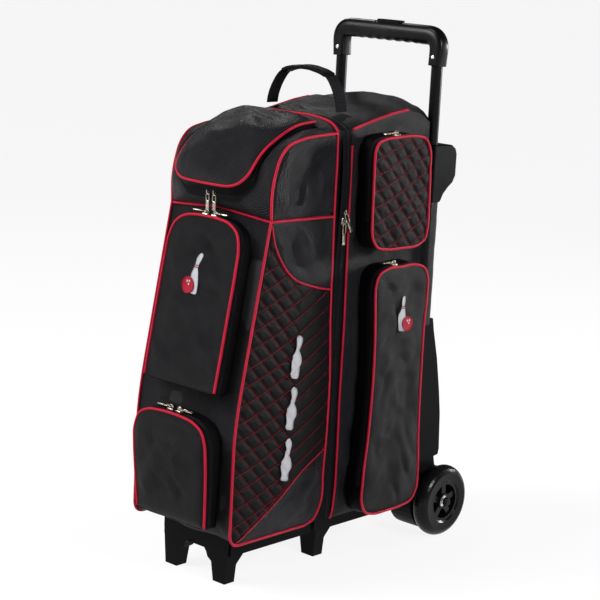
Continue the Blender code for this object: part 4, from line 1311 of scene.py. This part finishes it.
def main_hardware():
    for name, z, swing in (("upper", 0.6150, 28), ("lower", 0.5990, 0)):
        hardware(name, (HALF_WIDTH, -0.005, z), (1, 0, 0), None, 0.040, swing=math.radians(swing), own=True)
    for name, x in (("lid_left", -0.0075), ("lid_right", 0.0075)):
        hardware(name, (x, -0.190, 0.646), (0, -1, 0), None, 0.030, own=True)


# ---------------------------------------------------------------- carry handle

def carry_handle():
    """Webbing strap over the top, doubled and wrapped where the hand goes."""
    rise = [(0.0790, 0.7735), (0.0775, 0.784), (0.068, 0.808), (0.052, 0.8285), (0.020, 0.8385)]
    middle = smooth([(-x, z) for x, z in rise] + rise[::-1], 0.002)
    n = -normals_2d(middle, closed=False)
    n *= np.sign(n[len(n) // 2, 1])

    def strap(points, normal, half, thick, round_to):
        loop = rounded([(-half, -thick), (half, -thick), (half, thick), (-half, thick)], round_to)
        return np.array([[(p[0] + q[1] * m[0], 0.018 + q[0], p[1] + q[1] * m[1]) for q in (*loop, loop[0])]
                         for p, m in zip(points, normal)])

    loft("carry_handle_strap", strap(middle, n, 0.0128, 0.0013, 0.001), STRAP, "carry_handle",
         replaces=["carry_handle"])
    grip = np.abs(middle[:, 0]) < 0.054
    points, normal = middle[grip], n[grip]
    rows = strap(points, normal, 0.0136, 0.0034, 0.003)
    ends = np.clip(np.minimum(np.arange(len(points)), np.arange(len(points))[::-1]) / 3.0, 0.25, 1)
    centre = rows.mean(1, keepdims=True)
    rows = centre + (rows - centre) * np.sqrt(ends)[:, None, None]
    loft("carry_handle_wrap", rows, GUSSET, "carry_handle", wrinkle=0.0008, size=0.012, slot="webbing",
         fill=0.6)
    sewn = (points + normal * 0.0036)[4:-4]
    seam("carry_handle_stitching", [np.insert(sewn, 1, y, axis=1) for y in (0.0085, 0.0275)], BLACK_THREAD,
         "carry_handle", slot="webbing")
    foot = ring(rounded(rectangle(0.012, 0.003, 0.033), 0.002), 0.004)
    for side, sign in SIDES.items():
        lay = lambda u, v, h: np.stack([u + sign * 0.0800, v, rear_top(u + sign * 0.08, v) + 0.0018 + h], 1)
        panel(f"carry_handle_{side}_foot", Surface(foot, lay, 0.0008, 0.002), STRAP, REAR, 0.004)


# ---------------------------------------------------------------- tow grip

WAVE_LENGTH, WAVE_DEPTH, WAVES_HALF = 0.021, 0.0014, 0.075
WELL_DEPTH = 0.0085


def tow_grip():
    """Padded bar over the tow tubes, with finger waves under it and a well for the release button."""
    low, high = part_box("handle_grip")
    middle_y = (low.y + high.y) / 2 - ZIP_Y
    half_depth = (high.y - low.y) / 2
    leg = (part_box("right_inner_tube")[0].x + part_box("right_inner_tube")[1].x) / 2
    bar_half, leg_half, bore = 0.0165, 0.0126, 0.0104
    bar = high.z - bar_half
    path = rounded([(-leg, low.z), (-leg - 0.003, bar), (leg + 0.003, bar), (leg, low.z)],
                   [0, 0.026, 0.026, 0], closed=False)
    path = resample(path, 0.0018)
    out = normals_2d(path, closed=False)
    button_low, button_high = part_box("release_button")
    well_x, well_y = button_high.x + 0.0006, (button_high.y - button_low.y) / 2 + 0.0006
    turn = np.linspace(0, 2 * math.pi, 57)
    rows = []
    for (x, z), n in zip(path, out):
        share = min(1.0, (z - low.z) / (bar - low.z))
        power = 2 / (4.5 - 1.9 * share)
        half = leg_half + (bar_half - leg_half) * share ** 1.5
        a = half * np.sign(np.cos(turn)) * np.abs(np.cos(turn)) ** power
        b = half_depth * np.sign(np.sin(turn)) * np.abs(np.sin(turn)) ** power
        fade = min(1.0, max(0.0, (WAVES_HALF - abs(x)) / 0.01))
        waves = WAVE_DEPTH * (0.5 - 0.5 * math.cos(2 * math.pi * x / WAVE_LENGTH)) * fade
        a = np.where(a < 0, a * (1 - waves / half), a)
        if abs(x) < well_x:
            a = np.where((np.abs(b) < well_y) & (a > 0), bar_half - WELL_DEPTH, a)
        rows.append(np.column_stack([x + n[0] * a, middle_y + b, z + n[1] * a]))
    for end in (0, -1):
        centre = np.array((path[end][0], middle_y, low.z))
        ring = [np.column_stack([centre[0] + k * np.cos(turn) * out[end][0], middle_y + k * np.sin(turn),
                                 np.full(len(turn), low.z)]) for k in (bore, bore + 0.0005)]
        rows = ring + rows if end == 0 else rows + ring[::-1]
    loft("tow_grip", rows, GRIP, "tow_handle", flip=True, replaces=["handle_grip"])


# ---------------------------------------------------------------- embroidered pins

def pin_outline(base, height, lean=0.0):
    """A bowling pin standing on a point of the cloth, as a closed outline of (u, v) points."""
    right = [(0.0, 0.0), (0.070, 0.0), (0.120, 0.14), (0.155, 0.31), (0.130, 0.48), (0.070, 0.64),
             (0.058, 0.74),
             (0.085, 0.86), (0.078, 0.94), (0.040, 0.992), (0.0, 1.0)]
    shape = smooth(np.array(mirror_half(right)[:-1]) * height, 0.0016, closed=True)[:-1]
    c, s = math.cos(lean), math.sin(lean)
    return shape @ np.array(((c, -s), (s, c))) + base


def circle(centre, radius, count=28):
    turn = np.linspace(0, 2 * math.pi, count, endpoint=False)
    return np.column_stack([centre[0] + radius * np.cos(turn), centre[1] + radius * np.sin(turn)])


def patch(name, surface, outline, look, body, lift=0.0014):
    """A satin-stitched shape standing a little proud of the cloth, with a corded edge."""
    border = tube_mesh(surface.at(outline, lift), 0.0007, 6, closed=True)
    new_piece(name, join_meshes([surface.mesh(0.003, lift, outline), border]), look, body)


def pin_and_ball(name, surface, base, height, body, mirror=1):
    """The emblem: a pin with a ball in front of it, in plain thread."""
    base = np.asarray(base, float)
    patch(name + "_pin", surface, pin_outline(base, height), EMBROIDERY, body)
    neck = [surface.at(base + np.array(((-w, h), (0, h - 0.004), (w, h))) * height, 0.0024)
            for w, h in ((0.064, 0.66), (0.060, 0.71))]
    piping(name + "_neck_bands", neck, body, 0.0008, sides=6)
    centre = base + np.array((-0.20 * mirror, 0.19)) * height
    patch(name + "_ball", surface, circle(centre, 0.20 * height), RED_THREAD, body, 0.0026)
    holes = [surface.mesh(0.002, 0.0036, circle(centre + np.array(at) * height, 0.030 * height, 12))
             for at in ((-0.03, 0.09), (0.05, 0.10), (0.02, 0.02))]
    new_piece(name + "_finger_holes", join_meshes(holes), EMBROIDERY, body)


# ---------------------------------------------------------------- stage

def aim(obj, way):
    obj.rotation_euler = Vector(way).to_track_quat("-Z", "Y").to_euler()


TARGET = Vector((0, ZIP_Y, 0.42))
FLOOR_SIZE = 30


def stage():
    mesh = bpy.data.meshes.new("floor")
    mesh.from_pydata([(x * FLOOR_SIZE, y * FLOOR_SIZE, 0) for x, y in rectangle(1, -1, 1)], [],
                     [(0, 1, 2, 3)])
    mesh.materials.append(Look("pale_floor", (0.10, 0.10, 0.10), 0.9, Emission_Color=(1, 1, 1, 1),
                               Emission_Strength=0.88, Specular_IOR_Level=0.0).material)
    new_object("floor", mesh)
    world = bpy.data.worlds.new("studio")
    bpy.context.scene.world = world
    world.use_nodes = True
    background = world.node_tree.nodes["Background"]
    background.inputs["Color"].default_value = (1, 1, 1, 1)
    background.inputs["Strength"].default_value = 0.05
    sun = bpy.data.lights.new("sky_panel", "SUN")
    sun.energy, sun.angle = 1.2, math.radians(20)
    aim(new_object("sky_panel", sun), (0.30, 0.55, -0.90))
    for name, place, width, power in (("left_box", (-1.5, -2.3, 2.0), 1.5, 110),
                                      ("right_box", (2.7, -0.1, 1.6), 0.7, 60),
                                      ("side_kicker", (1.1, 2.95, 0.9), 0.5, 58),
                                      ("top_kicker", (-1.7, 1.3, 2.1), 0.6, 11)):
        light = bpy.data.lights.new(name, "AREA")
        light.shape, light.size, light.energy = "DISK", width, power
        lamp = new_object(name, light)
        lamp.location = place
        aim(lamp, TARGET - Vector(place))
    bpy.context.scene.view_settings.view_transform = "Standard"


def camera():
    azimuth, elevation, roll = (math.radians(a) for a in (42.44, 11.82, 2.99))
    back = Vector((math.sin(azimuth) * math.cos(elevation), -math.cos(azimuth) * math.cos(elevation),
                   math.sin(elevation)))
    right = Vector((math.cos(azimuth), math.sin(azimuth), 0))
    up = back.cross(right)
    across = math.cos(roll) * right + math.sin(roll) * up
    upward = -math.sin(roll) * right + math.cos(roll) * up
    data = bpy.data.cameras.new("camera")
    data.sensor_width, data.lens = 36, 110.34
    obj = new_object("camera", data)
    place = TARGET + back * 3.14 + across * 0.020 + upward * 0.024
    obj.matrix_world = Matrix.Translation(place) @ Matrix((across, upward, back)).transposed().to_4x4()
    bpy.context.scene.camera = obj


dress_nodes()
front_half()
collar(*top_lid())
rear_half()
tube_sleeves()
main_zip()
insides()
side_pockets()
front_pockets()
main_hardware()
carry_handle()
tow_grip()
stage()
camera()
